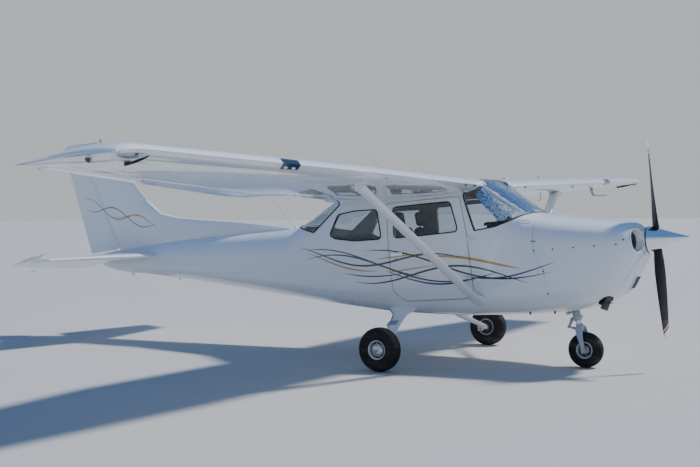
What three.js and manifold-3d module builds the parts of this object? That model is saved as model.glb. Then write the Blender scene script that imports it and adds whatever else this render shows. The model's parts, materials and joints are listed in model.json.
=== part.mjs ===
import * as THREE from "three";
import { mergeVertices } from "three/addons/utils/BufferGeometryUtils.js";
import Module from "manifold-3d";

const wasm = await Module();
wasm.setup();

// Light aircraft: high wing on struts, one engine, four seats, fixed nosewheel gear. Millimetres.
// Airframe axes: station s runs aft from the spinner's tip, y to port, w up from the thrust line.
// In the scene these are x = -s, y and z = w, in a group that is tilted to the parked attitude.

// Attitude and wheels on the floor
const pitch = THREE.MathUtils.degToRad(4.5);
const spinnerTip = { x: 1169, z: 1320 };
const noseWheel = { x: 137, tyreRadius: 178, rimRadius: 80, width: 124, rimWidth: 84 };
const mainWheel = { x: -1518, y: 1275, tyreRadius: 218, rimRadius: 90, width: 158, rimWidth: 108 };

// Clearances and walls
const seam = 0.4;
const panelGap = 5;
const surfaceGap = 7;
const cabinWall = 30;
const cowlWall = 14;
const tailWall = 10;

// Fuselage stations
const cowlFront = 402;
const firewall = 1304;
const cabinEnd = 4390;
const tailEnd = 7585;
const floorLevel = -470;
const cowlSplit = -22;

// Fuselage sections: s, half width, belt, top, bottom, top roundness, bottom roundness, lean of the sides
const bodySections = [
  [402, 152, -14, 124, -150, 2.1, 2.1, 0],
  [418, 215, -18, 133, -170, 2.2, 2.1, 0],
  [436, 292, -20, 158, -200, 2.2, 2.2, 0],
  [466, 355, -20, 178, -255, 2.3, 2.2, 0],
  [520, 399, -20, 196, -338, 2.3, 2.25, 0],
  [572, 424, -20, 205, -424, 2.4, 2.3, 0],
  [620, 436, -20, 211, -500, 2.4, 2.4, 0],
  [660, 443, -20, 218, -534, 2.4, 2.6, 0],
  [820, 465, -20, 246, -608, 2.5, 2.8, 0],
  [1000, 483, -15, 273, -648, 2.6, 3.0, 0],
  [1304, 507, -10, 325, -668, 2.8, 3.6, 0],
  [1500, 520, 0, 362, -670, 2.9, 4.2, 0],
  [1620, 526, 0, 452, -668, 3.1, 4.5, 0.01],
  [1800, 532, 0, 585, -665, 3.8, 4.5, 0.03],
  [1930, 535, 0, 682, -664, 4.8, 4.5, 0.04],
  [2020, 536, 0, 746, -663, 5.8, 4.5, 0.045],
  [2140, 537, 0, 774, -660, 7, 4.5, 0.05],
  [2300, 537, 0, 790, -655, 8, 4.5, 0.05],
  [2800, 533, 0, 797, -615, 8, 4.5, 0.05],
  [3200, 520, 0, 790, -575, 8, 4.4, 0.05],
  [3480, 501, 0, 776, -534, 7, 4.2, 0.05],
  [3660, 484, 0, 735, -508, 5.4, 4.0, 0.05],
  [3800, 468, 0, 676, -490, 4.6, 3.8, 0.05],
  [4100, 430, 0, 533, -442, 3.4, 3.4, 0.02],
  [4390, 398, 0, 414, -392, 2.8, 3.1, 0],
  [5000, 325, 10, 408, -288, 2.5, 2.7, 0],
  [5600, 255, 30, 403, -186, 2.3, 2.5, 0],
  [6200, 190, 70, 396, -80, 2.2, 2.4, 0],
  [6800, 125, 120, 383, 10, 2.2, 2.3, 0],
  [7150, 88, 170, 360, 46, 2.2, 2.3, 0],
  [7300, 62, 200, 338, 78, 2.2, 2.3, 0],
  [7450, 44, 215, 328, 118, 2.2, 2.2, 0],
  [7560, 30, 235, 318, 152, 2.2, 2.2, 0],
  [7585, 16, 240, 300, 180, 2.2, 2.2, 0],
];
const bodySides = 36;
const innerSides = 24;
const wheelSides = 28;

// Side outlines as station and height
const windshieldOutline = [
  [1440, 450], [1488, 360], [1540, 335], [1650, 285], [1780, 243], [2003, 219],
  [2107, 573], [2085, 660], [2022, 745], [1980, 830], [1880, 830],
];
const doorOutline = [
  [2150, 575], [2095, 205], [2055, -380], [2090, -464], [2860, -464], [2990, -350], [3012, 0], [3012, 575],
];
const doorWindowOutline = [[2262, 531], [2186, 222], [2934, 206], [2930, 528]];
const sideWindowOutline = [
  [3134, 521], [3097, 207], [3440, 212], [3690, 250], [3772, 290], [3645, 508], [3400, 528],
];
const rearWindowOutline = [
  [3640, 612], [4006, 342], [4140, 378], [4300, 424], [4420, 520], [4000, 780], [3730, 780], [3690, 690],
];
const baggageOutline = [[3335, 130], [3330, -330], [3700, -300], [3715, 130]];

// Hinge lines of the doors: station, y and the heights of their knuckles
const doorHinges = [-300, 140];
const baggageHinges = [-250, 60];
const doorAxis = (side) => ({ s: 2074, y: side * 547, side });
const baggageAxis = { s: 3322, y: 523, side: 1 };

// Wing sections: y, leading edge s, chord, quarter chord height, incidence in degrees, thickness ratio
const wingDihedral = Math.tan(THREE.MathUtils.degToRad(1.73));
const wingRootY = 530;
const wingRootHeight = 664.5;
const wingHeight = (y) => wingRootHeight + Math.max(0, y - wingRootY) * wingDihedral;
const wingInnerY = 396;
const wingBreakY = 2500;
const wingTipY = 5290;
const wingTipHeight = wingHeight(wingTipY) + 30;
const wingSections = [
  [wingInnerY, 1937, 1622, wingHeight(wingInnerY), 1.64, 0.12],
  [wingRootY, 1937, 1622, wingHeight(wingRootY), 1.64, 0.12],
  [wingBreakY, 1950, 1640, wingHeight(wingBreakY) + 7, 2, 0.12],
  [wingTipY, 2072, 1058, wingTipHeight, 0.7, 0.12],
];
const tipSections = [
  [wingTipY + seam, 2072, 1058, wingTipHeight, 0.7, 0.12],
  [5380, 2082, 1046, wingTipHeight, 0.6, 0.105],
  [5450, 2108, 1014, wingTipHeight - 6, 0.3, 0.07],
  [5499, 2170, 934, wingTipHeight - 14, -0.4, 0.02],
];
const wingCamber = 0.02;
const airfoilHalf = 11;

// Control surfaces: ends of each hinge line, and nose radii at its two ends
const aileron = { inner: [3262, 2480], outer: [2842, 5210], nose: [47, 41] };
const flap = { inner: [3116, 546], outer: [3142, 2440], nose: 58, pivotDrop: 150 };
const elevator = { s: 7190, w: 262, innerY: 100, tipY: 1600, hornY: 1612, nose: [40, 21], droop: 16 };
const rudder = { foot: [7272, 372], slope: 0.427, top: 1773, nose: [40, 27], hornHeight: 1600 };

// Tailplane sections: y, leading edge s, chord to the elevator's edge, thickness ratio
const tailIncidence = 2.5;
const tailSections = [
  [50, 6520, 1186, 0.075],
  [250, 6574, 1126, 0.075],
  [1600, 6872, 560, 0.08],
  [1690, 6962, 446, 0.075],
  [1727, 7040, 352, 0.045],
];

// Fin and rudder sections: w, leading edge s, trailing edge s, thickness
const finSections = [
  [250, 6150, 7752, 112],
  [905, 6711, 7933, 92],
  [1600, 7324, 8120, 62],
  [1735, 7462, 8168, 48],
  [1773, 7560, 8178, 22],
];
// Dorsal fillet sections: s, top w, half thickness
const dorsalSections = [
  [4600, 424, 6],
  [5222, 537, 20],
  [6247, 682, 38],
  [6530, 760, 44],
  [6760, 950, 40],
];

// Bracing strut: foot and head as s, y and w, chord and thickness
const strut = { foot: [2040, 430, -536], head: [2232, 2350, 660] };
// Its sections: share of the way up, chord, thickness, shift ahead
const strutSections = [
  [0, 180, 100, 60],
  [0.045, 156, 84, 48],
  [0.085, 106, 42, 14],
  [0.93, 106, 42, 9],
  [0.965, 114, 52, 8],
  [1, 122, 60, 4],
];

// Main gear: axle radius, and leg sections by y, s and w of the middle, chord and thickness
const axleRadius = 16;
const legSections = [
  [330, 2938, -500, 400, 110],
  [405, 2936, -538, 370, 96],
  [450, 2932, -560, 290, 80],
  [505, 2926, -587, 184, 56],
  [600, 2909, -628, 150, 46],
  [860, 2852, -742, 126, 40],
  [1120, 2772, -858, 100, 36],
  [1172, 2765, -888, 84, 44],
];

// Nose gear: rake of the leg and its parts, along the leg from the axle
const noseRake = THREE.MathUtils.degToRad(10.97);
const noseGear = { tubeRadius: 40, tubeFrom: 300, tubeTo: 610, pistonRadius: 27, crown: 196, armY: 82 };
const noseAxleRadius = 13;

// Tie-down lugs under the wings and the tail
const tieDown = { s: 2222, y: 2420, w: 616 };
const tailTieDown = { s: 6313, w: -92 };

// Propeller blade sections: radius, chord, thickness, blade angle in degrees
const propStation = 317;
const propLean = 4.3;
const bladeSections = [
  [0, 92, 62, 40],
  [120, 92, 56, 40],
  [200, 112, 38, 37],
  [340, 140, 26, 29],
  [560, 147, 18, 21],
  [760, 132, 13, 16],
  [900, 108, 10, 14],
  [965, 58, 6, 13],
];
const spinnerBase = 378;
// Spinner profile: s and radius
const spinnerProfile = [
  [0, 0], [3, 6], [12, 11], [63, 24], [170, 60], [276, 97], [330, 116], [362, 127], [spinnerBase, 132],
];

// Paints and materials
const material = (color, roughness, metalness) =>
  new THREE.MeshStandardMaterial({ color, roughness, metalness });
const whitePaint = () => material(0xf2f4f6, 0.2, 0.1);
const chrome = () => material(0xd8dadd, 0.08, 1);
const blackSatin = () => material(0x1c1d20, 0.45, 0.1);
const tyreRubber = () => material(0x1a1a1a, 0.85, 0);
const silver = () => material(0xb9bcc0, 0.35, 0.9);
const castIron = () => material(0x4a4c50, 0.6, 0.6);
const tinted = () => material(0x32414a, 0.05, 0.1);
const seatCloth = () => material(0x8b8a86, 0.9, 0);
const panelGrey = () => material(0x2b2c2e, 0.7, 0);
const redLens = () => material(0xb3181a, 0.1, 0);

// Airframe point from station, y and height
function point(s, y, w) {
  return new THREE.Vector3(-s, y, w);
}

// Station and height of a point that is known over the floor
function fromFloor(x, z) {
  const dx = x - spinnerTip.x;
  const dz = z - spinnerTip.z;
  return {
    s: -(dx * Math.cos(pitch) + dz * Math.sin(pitch)),
    w: dz * Math.cos(pitch) - dx * Math.sin(pitch),
  };
}

// Closed geometry from points and triangles, with its faces turned outward
function closed(points, faces) {
  let volume = 0;
  for (const [a, b, c] of faces) {
    volume += points[a].dot(new THREE.Vector3().crossVectors(points[b], points[c]));
  }
  const order = volume < 0 ? faces.map(([a, b, c]) => [a, c, b]) : faces;
  const geometry = new THREE.BufferGeometry();
  const values = points.flatMap((p) => [p.x, p.y, p.z]);
  geometry.setAttribute("position", new THREE.Float32BufferAttribute(values, 3));
  geometry.setIndex(order.flat());
  return geometry;
}

// Skin through rings of points, with flat ends
function loft(rings) {
  const sides = rings[0].length;
  const points = rings.flat();
  const faces = [];
  for (let ring = 0; ring < rings.length - 1; ring++) {
    for (let side = 0; side < sides; side++) {
      const a = ring * sides + side;
      const b = ring * sides + ((side + 1) % sides);
      faces.push([a, b, b + sides], [a, b + sides, a + sides]);
    }
  }
  for (const [ring, flip] of [[0, true], [rings.length - 1, false]]) {
    const middle = points.length;
    const centre = new THREE.Vector3();
    rings[ring].forEach((p) => centre.add(p));
    points.push(centre.divideScalar(sides));
    for (let side = 0; side < sides; side++) {
      const a = ring * sides + side;
      const b = ring * sides + ((side + 1) % sides);
      faces.push(flip ? [middle, b, a] : [middle, a, b]);
    }
  }
  return closed(points, faces);
}

// Volume inside a merged geometry, negative where its faces point inward
function signedVolume(geometry) {
  const position = geometry.getAttribute("position");
  const corner = (i) => new THREE.Vector3().fromBufferAttribute(position, geometry.index.getX(i));
  let volume = 0;
  for (let i = 0; i < geometry.index.count; i += 3) {
    volume += corner(i).dot(corner(i + 1).cross(corner(i + 2))) / 6;
  }
  return volume;
}

// Solid for joining and cutting
function solid(geometry) {
  const bare = new THREE.BufferGeometry();
  bare.setAttribute("position", geometry.getAttribute("position"));
  if (geometry.index) bare.setIndex(geometry.index);
  const merged = mergeVertices(bare, 0.001);
  const triVerts = Uint32Array.from(merged.index.array);
  const vertProperties = Float32Array.from(merged.getAttribute("position").array);
  if (signedVolume(merged) < 0) triVerts.reverse();
  return new wasm.Manifold(new wasm.Mesh({ numProp: 3, vertProperties, triVerts }));
}

// Geometry of a solid
function shell(body) {
  const mesh = body.getMesh();
  const geometry = new THREE.BufferGeometry();
  geometry.setAttribute("position", new THREE.Float32BufferAttribute(mesh.vertProperties, 3));
  geometry.setIndex(Array.from(mesh.triVerts));
  return geometry;
}

const join = (first, ...others) => others.reduce((sum, next) => sum.add(next), first);
const cut = (first, ...others) => others.reduce((rest, next) => rest.subtract(next), first);

// Block between two corners given as station, y and height
function block(s0, s1, y0, y1, w0, w1) {
  const geometry = new THREE.BoxGeometry(Math.abs(s1 - s0), Math.abs(y1 - y0), Math.abs(w1 - w0));
  geometry.translate(-(s0 + s1) / 2, (y0 + y1) / 2, (w0 + w1) / 2);
  return solid(geometry);
}

// Round bar between two points, which may taper
function bar(from, to, radius, endRadius = radius, sides = 16) {
  const along = new THREE.Vector3().subVectors(to, from);
  const geometry = new THREE.CylinderGeometry(endRadius, radius, along.length(), sides);
  geometry.translate(0, along.length() / 2, 0);
  const turn = new THREE.Quaternion().setFromUnitVectors(new THREE.Vector3(0, 1, 0), along.normalize());
  geometry.applyQuaternion(turn);
  geometry.translate(from.x, from.y, from.z);
  return solid(geometry);
}

// Prism of a side outline with rounded corners, from one y to another
function sidePrism(outline, y0, y1, radius = 0) {
  const shape = new THREE.Shape();
  outline.forEach(([s, w], i) => {
    const here = new THREE.Vector2(s, w);
    const before = new THREE.Vector2(...outline[(i + outline.length - 1) % outline.length]);
    const after = new THREE.Vector2(...outline[(i + 1) % outline.length]);
    const lead = Math.min(radius, here.distanceTo(before) / 2.2);
    const trail = Math.min(radius, here.distanceTo(after) / 2.2);
    const start = here.clone().add(before.sub(here).setLength(Math.max(lead, 0.01)));
    const end = here.clone().add(after.sub(here).setLength(Math.max(trail, 0.01)));
    if (i === 0) shape.moveTo(start.x, start.y);
    else shape.lineTo(start.x, start.y);
    if (radius > 0) shape.quadraticCurveTo(s, w, end.x, end.y);
  });
  shape.closePath();
  const settings = { depth: y1 - y0, bevelEnabled: false, curveSegments: 3 };
  const geometry = new THREE.ExtrudeGeometry(shape, settings);
  geometry.applyMatrix4(new THREE.Matrix4().set(-1, 0, 0, 0, 0, 0, 1, y0, 0, 1, 0, 0, 0, 0, 0, 1));
  return solid(geometry);
}

// Both side prisms of an outline, through the two side walls only
function sidePrisms(outline, radius) {
  return join(sidePrism(outline, 300, 700, radius), sidePrism(outline, -700, -300, radius));
}

// Outline with every edge moved outward by a distance
function grown(outline, distance) {
  const corners = outline.map(([s, w]) => new THREE.Vector2(s, w));
  const turn = Math.sign(THREE.ShapeUtils.area(corners));
  const normal = (a, b) => new THREE.Vector2(b.y - a.y, a.x - b.x).normalize().multiplyScalar(turn);
  return corners.map((here, i) => {
    const before = normal(corners[(i + corners.length - 1) % corners.length], here);
    const after = normal(here, corners[(i + 1) % corners.length]);
    const share = distance / (1 + before.dot(after));
    return [here.x + (before.x + after.x) * share, here.y + (before.y + after.y) * share];
  });
}

// Fuselage cross-section at one row of the table, moved outward by an offset
function bodyRing([s, half, belt, top, bottom, topRound, bottomRound, lean], offset, count) {
  const ring = [];
  for (let i = 0; i < count; i++) {
    const angle = ((i + 0.5) / count) * Math.PI * 2;
    const across = Math.cos(angle);
    const up = Math.sin(angle);
    const round = up > 0 ? topRound : bottomRound;
    const reach = up > 0 ? top + offset - belt : belt - bottom + offset;
    const rise = Math.sign(up) * Math.abs(up) ** (2 / round);
    const tuck = 1 - lean * Math.max(0, rise);
    const y = Math.sign(across) * Math.abs(across) ** (2 / round) * (half + offset) * tuck;
    ring.push(point(s, y, belt + rise * reach));
  }
  return ring;
}

// Row of the fuselage table at any station
function bodyAt(s) {
  const after = Math.max(1, bodySections.findIndex((row) => row[0] >= s));
  const [low, high] = [bodySections[after - 1], bodySections[after]];
  const share = (s - low[0]) / (high[0] - low[0]);
  return low.map((value, i) => value + (high[i] - value) * share);
}

// Fuselage between two stations, moved outward by an offset
function fuselage(from, to, offset, count = bodySides) {
  const rows = bodySections.filter((row) => row[0] > from + 1 && row[0] < to - 1);
  return solid(loft([bodyAt(from), ...rows, bodyAt(to)].map((row) => bodyRing(row, offset, count))));
}

// Cambered airfoil as fractions of the chord, from the trailing edge over the top and back below
function airfoil(thickness, camber) {
  const half = (x) => 5 * thickness
    * (0.2969 * Math.sqrt(x) - 0.126 * x - 0.3516 * x ** 2 + 0.2843 * x ** 3 - 0.1015 * x ** 4);
  const bow = (x) => camber * (x < 0.4 ? (0.8 * x - x * x) / 0.16 : (0.2 + 0.8 * x - x * x) / 0.36);
  const upper = [];
  const lower = [];
  for (let i = 0; i <= airfoilHalf; i++) {
    const x = (1 - Math.cos((i / airfoilHalf) * Math.PI)) / 2;
    upper.push([x, bow(x) + half(x)]);
    lower.push([x, bow(x) - half(x)]);
  }
  return [...upper.reverse(), ...lower.slice(1)];
}

// Wing section ring: y, leading edge, chord, quarter chord height, incidence, thickness
function wingRing([y, lead, chord, height, incidence, thickness], side, grow) {
  const slope = Math.sin(THREE.MathUtils.degToRad(incidence));
  return airfoil(thickness, wingCamber).map(([x, z]) => {
    const edge = (x - 0.5) * 2 * grow;
    const lift = z + (Math.sign(z - wingCamber / 2) * grow) / chord;
    return point(lead + x * chord + edge, side * y, height - (x - 0.25) * chord * slope + lift * chord);
  });
}

function wingLoft(sections, side, grow = 0) {
  return solid(loft(sections.map((row) => wingRing(row, side, grow))));
}

// Symmetric section ring in a level plane or an upright one
function tailRing([y, lead, chord, thickness], side, grow) {
  const slope = Math.sin(THREE.MathUtils.degToRad(tailIncidence));
  return airfoil(thickness, 0).map(([x, z]) => {
    const s = lead + x * chord + (x - 0.5) * 2 * grow;
    return point(s, side * y, elevator.w + (s - elevator.s) * slope + z * chord + Math.sign(z) * grow);
  });
}

function finRing([w, lead, trail, thickness], grow) {
  return airfoil(thickness / (trail - lead), 0).map(([x, z]) =>
    point(lead + x * (trail - lead) + (x - 0.5) * 2 * grow, z * (trail - lead) + Math.sign(z) * grow, w));
}

// Frame of a hinge line: origin at its first end, local Y along it for level hinges
function hingeFrame(first, second, upright = false) {
  const along = new THREE.Vector3().subVectors(second, first).normalize();
  const ahead = new THREE.Vector3(1, 0, 0);
  ahead.addScaledVector(along, -ahead.dot(along)).normalize();
  const third = new THREE.Vector3().crossVectors(ahead, along);
  const matrix = new THREE.Matrix4();
  if (upright) matrix.makeBasis(ahead, new THREE.Vector3().crossVectors(along, ahead), along);
  else if (third.z > 0) matrix.makeBasis(ahead, along, third);
  else matrix.makeBasis(ahead, along.clone().negate(), third.negate());
  return matrix.setPosition(first);
}

const moved = (body, matrix) => body.transform(matrix.elements);
const upward = (z) => new THREE.Vector3(0, 0, z);

const ordered = (a, b) => [Math.min(a, b), Math.max(a, b)];

// Box in a hinge's own frame, carried to airframe axes
function zone(frame, x0, x1, y0, y1, z0, z1) {
  const geometry = new THREE.BoxGeometry(x1 - x0, Math.abs(y1 - y0), z1 - z0);
  geometry.translate((x0 + x1) / 2, (y0 + y1) / 2, (z0 + z1) / 2);
  return moved(solid(geometry), frame);
}

// The scene graph
const aircraft = new THREE.Group();
const airframe = new THREE.Group();
airframe.rotation.y = -pitch;
airframe.position.set(spinnerTip.x, 0, spinnerTip.z);
aircraft.add(airframe);

function add(name, body, finish, parent = airframe) {
  const geometry = body.isBufferGeometry ? body : shell(body);
  const mesh = new THREE.Mesh(geometry, finish);
  mesh.name = name;
  parent.add(mesh);
  return mesh;
}

// Group that turns about its own origin, from a frame in airframe axes
function pivot(matrix, name) {
  const group = new THREE.Group();
  group.name = name;
  matrix.decompose(group.position, group.quaternion, group.scale);
  group.scale.set(1, 1, 1);
  airframe.add(group);
  return group;
}

// Adds a body that was shaped in airframe axes to a pivot group
function addTo(group, matrix, name, body, finish) {
  return add(name, moved(body, matrix.clone().invert()), finish, group);
}

const sides = [["left", 1], ["right", -1]];
const outer = fuselage(cowlFront, tailEnd, 0);
const outerGrown = fuselage(cowlFront, tailEnd, seam);

// Cowl

function addCowl() {
  const skin = fuselage(cowlFront, firewall - seam, 0);
  const core = fuselage(cowlFront + 24, firewall + 10, -cowlWall, innerSides);
  const inlets = sides.map(([, side]) => {
    const rings = [390, 640].map((s) => ellipse(s, side * 250, 0, 99, 112));
    return solid(loft(rings));
  });
  const shaftHole = bar(point(390, 0, 0), point(640, 0, 0), 84, 84, 24);
  const chinIntake = block(540, 700, -92, 92, -498, -410);
  const exhaustHole = bar(point(796, -220, -700), point(796, -220, -500), 66, 66, 20);
  const legSlot = block(1150, 1310, -62, 62, -720, -520);
  const whole = cut(skin, core, ...inlets, shaftHole, chinIntake, exhaustHole, legSlot);
  const above = block(300, 1400, -700, 700, cowlSplit + seam, 700);
  const below = block(300, 1400, -700, 700, -900, cowlSplit);
  add("cowl_upper", whole.intersect(above), whitePaint());
  add("cowl_lower", whole.intersect(below), whitePaint());
}

// Ellipse ring across the airframe at one station
function ellipse(s, y, w, halfWide, halfHigh, count = 20) {
  const ring = [];
  for (let i = 0; i < count; i++) {
    const angle = (i / count) * Math.PI * 2;
    ring.push(point(s, y + Math.cos(angle) * halfWide, w + Math.sin(angle) * halfHigh));
  }
  return ring;
}

function addEngine() {
  const crankcase = block(620, 1160, -345, 345, -270, 40);
  const nose = block(480, 620, -110, 110, -90, 90);
  const shaft = bar(point(spinnerBase + seam, 0, 0), point(500, 0, 0), 52, 52, 20);
  const mounts = [[-300, 20], [300, 20], [-260, -260], [260, -260]].map(([y, w]) =>
    bar(point(1140, y, w), point(firewall - seam, y, w), 16, 16, 10));
  add("engine_block", join(crankcase, nose, shaft, ...mounts), castIron());
  const pipe = bar(point(796, -220, -270 - seam), point(796, -220, -646), 39, 39, 18);
  const bore = bar(point(796, -220, -500), point(796, -220, -660), 34, 34, 18);
  add("exhaust_pipe", cut(pipe, bore), silver());
}

// Cabin

function addCabin() {
  const skin = fuselage(firewall, cabinEnd, 0);
  const room = fuselage(firewall + 22, cabinEnd - 60, -cabinWall, innerSides);
  const aboveFloor = block(1200, 4500, -700, 700, floorLevel, 900);
  const hollow = room.intersect(aboveFloor);
  const doors = sidePrisms(grown(doorOutline, panelGap), 42 + panelGap);
  const sideWindows = sidePrisms(sideWindowOutline, 50);
  const windshield = sidePrism(windshieldOutline, -700, 700, 8);
  const rearWindow = sidePrism(rearWindowOutline, -700, 700, 12);
  const baggage = sidePrism(grown(baggageOutline, panelGap), 300, 700, 36 + panelGap);
  const shellBody = cut(skin, hollow, doors, sideWindows, windshield, rearWindow, baggage);
  const knuckles = sides.flatMap(([, side]) =>
    doorHinges.map((w) => hingeEar(doorAxis(side), w - 22, w - seam, -60)));
  const bagKnuckles = baggageHinges.map((w) => hingeEar(baggageAxis, w - 18, w - seam, -50));
  add("cabin_shell", join(shellBody, ...knuckles, ...bagKnuckles), whitePaint());

  const pane = cut(fuselage(1400, 4380, -4), fuselage(1390, 4385, -10));
  add("windshield", pane.intersect(sidePrism(grown(windshieldOutline, -seam), -700, 700, 8)), tinted());
  add("rear_window", pane.intersect(sidePrism(grown(rearWindowOutline, -seam), -700, 700, 12)), tinted());
  for (const [name, side] of sides) {
    const near = block(1200, 4400, side > 0 ? 0 : -700, side > 0 ? 700 : 0, -800, 900);
    const glass = pane.intersect(sidePrisms(grown(sideWindowOutline, -seam), 50)).intersect(near);
    add(`side_window_${name}`, glass, tinted());
  }
  return { skin, room, hollow, pane };
}

// Knuckle on a vertical hinge line, with an ear that reaches into the panel ahead or behind
function hingeEar({ s, y, side }, low, high, reach) {
  const knuckle = bar(point(s, y, low), point(s, y, high), 8, 8, 12);
  const plate = block(s + reach, s, y - side * 6, y, low + 3, high - 3);
  const foot = block(s + reach, s + reach * 0.6, y - side * 32, y, low + 3, high - 3);
  return join(knuckle, plate, foot);
}

function addDoors(cabin) {
  const wall = cut(cabin.skin, cabin.hollow);
  for (const [name, side] of sides) {
    const axis = doorAxis(side);
    const frame = new THREE.Matrix4().makeTranslation(-axis.s, axis.y, 0);
    const group = pivot(frame, `door_${name}_axis`);
    const near = block(1200, 4400, side > 0 ? 0 : -700, side > 0 ? 700 : 0, -800, 900);
    const leaf = wall.intersect(sidePrisms(doorOutline, 42)).intersect(near);
    const opening = sidePrisms(doorWindowOutline, 60);
    const ears = doorHinges.map((w) => hingeEar(axis, w + seam, w + 22, 60));
    const handle = block(2850, 2970, side * 515, side * 542, 20, 46);
    addTo(group, frame, `door_${name}`, join(cut(leaf, opening), ...ears, handle), whitePaint());
    const glass = cabin.pane.intersect(sidePrisms(grown(doorWindowOutline, -seam), 60)).intersect(near);
    addTo(group, frame, `door_window_${name}`, glass, tinted());
  }
  const frame = new THREE.Matrix4().makeTranslation(-baggageAxis.s, baggageAxis.y, 0);
  const group = pivot(frame, "baggage_door_axis");
  const leaf = wall.intersect(sidePrism(baggageOutline, 300, 700, 36));
  const ears = baggageHinges.map((w) => hingeEar(baggageAxis, w + seam, w + 18, 50));
  addTo(group, frame, "baggage_door", join(leaf, ...ears), whitePaint());
}

function addInterior(cabin) {
  const room = fuselage(firewall + 23, cabinEnd - 61, -cabinWall - seam, innerSides);
  const fit = (body) => body.intersect(room);
  const panelShape = [
    [1560, 268], [1860, 292], [1880, 250], [1860, -150], [1800, -150], [1790, 225], [1560, 225],
  ];
  const yokes = [-270, 270].flatMap((y) => [
    bar(point(1840, y, 60), point(2010, y, 66), 14, 14, 10),
    block(1995, 2025, y - 130, y + 130, 52, 78),
    block(1990, 2030, y - 140, y - 112, 50, 150),
    block(1990, 2030, y + 112, y + 140, 50, 150),
  ]);
  const panel = fit(sidePrism(panelShape, -500, 500, 10));
  add("instrument_panel", join(panel, ...yokes), panelGrey());
  for (const [name, side] of sides) {
    const y = side * 262;
    const seat = join(
      sidePrism([[2330, -175], [2340, -290], [2830, -300], [2840, -170]], y - 205, y + 205, 40),
      sidePrism([[2740, -250], [2860, -290], [3060, 330], [2990, 360], [2930, 340]], y - 205, y + 205, 40),
      sidePrism([[2960, 320], [3020, 320], [3050, 480], [2990, 490]], y - 110, y + 110, 20),
      block(2400, 2800, y - 190, y - 150, floorLevel + seam, -280),
      block(2400, 2800, y + 150, y + 190, floorLevel + seam, -280),
    );
    add(`seat_front_${name}`, seat, seatCloth());
  }
  const bench = join(
    sidePrism([[3240, -190], [3250, -300], [3640, -310], [3680, -200]], -430, 430, 40),
    sidePrism([[3570, -240], [3680, -260], [3800, 300], [3740, 330], [3690, 300]], -430, 430, 40),
    block(3300, 3600, -400, 400, floorLevel + seam, -290),
  );
  add("seat_rear", fit(bench), seatCloth());
}

// Tailcone, fin and tailplane

function addTailcone() {
  const skin = fuselage(cabinEnd + seam, tailEnd, 0);
  const core = fuselage(cabinEnd - 20, 6700, -tailWall, innerSides);
  const tubeEnds = [-200, 200].map((y) => point(elevator.s, y, elevator.w));
  const torqueTube = bar(...tubeEnds, 27, 27, 16);
  const [footS, footW] = rudder.foot;
  const pinFoot = point(footS - rudder.slope * 60, 0, footW - 60);
  const pinHead = point(footS - rudder.slope * seam, 0, footW - seam);
  const pin = bar(pinFoot, pinHead, 8, 8, 10);
  const lug = bar(point(tailTieDown.s, 0, tailTieDown.w), point(tailTieDown.s, 0, -52), 11, 11, 10);
  add("tailcone", join(cut(skin, core, torqueTube), pin, lug), whitePaint());
}

const rudderAxis = () => {
  const [s, w] = rudder.foot;
  return [point(s, 0, w), point(s + rudder.slope * 1000, 0, w + 1000)];
};

function addFin() {
  const surface = solid(loft(finSections.map((row) => finRing(row, 0))));
  const frame = hingeFrame(...rudderAxis(), true);
  const reach = 1600;
  const g = surfaceGap;
  const hornAt = (rudder.hornHeight - rudder.foot[1]) * Math.hypot(1, rudder.slope);
  const length = (rudder.top - rudder.foot[1]) * Math.hypot(1, rudder.slope);
  const nose = (grow, from) => {
    const [low, high] = rudder.nose;
    const start = low + ((high - low) * from) / length;
    const tube = bar(upward(from), upward(length + 40), start + grow, high + grow, 20);
    return moved(tube, frame);
  };
  const rest = join(
    zone(frame, -900, 0, -200, 200, -400, reach),
    nose(g, -90),
    zone(frame, -900, 150 + g, -200, 200, hornAt - g, reach),
  );
  const dorsal = solid(loft(dorsalSections.map(([s, top, half]) => {
    const rings = [[half, 250], [half, top - half], [half * 0.7, top - half * 0.3], [0, top]];
    const port = rings.map(([y, w]) => point(s, y, w));
    const starboard = rings.slice(0, 3).reverse().map(([y, w]) => point(s, -y, w));
    return [...port, ...starboard];
  })));
  const fin = cut(join(surface, dorsal), rest, outerGrown);
  add("fin", largest(fin), whitePaint());
  const turning = join(
    zone(frame, -900, 0, -200, 200, 0, reach),
    nose(0, 0),
    zone(frame, -900, 150, -200, 200, hornAt, reach),
  );
  const footRoom = sidePrism([[7000, 346], [7290, 350], [7800, 326], [7900, 100], [7000, 100]], -200, 200);
  const group = pivot(frame, "rudder_axis");
  addTo(group, frame, "rudder", cut(surface.intersect(turning), footRoom), whitePaint());
}

// Largest separate body of a solid
function largest(body) {
  const parts = body.decompose();
  return parts.sort((a, b) => b.volume() - a.volume())[0];
}

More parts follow.
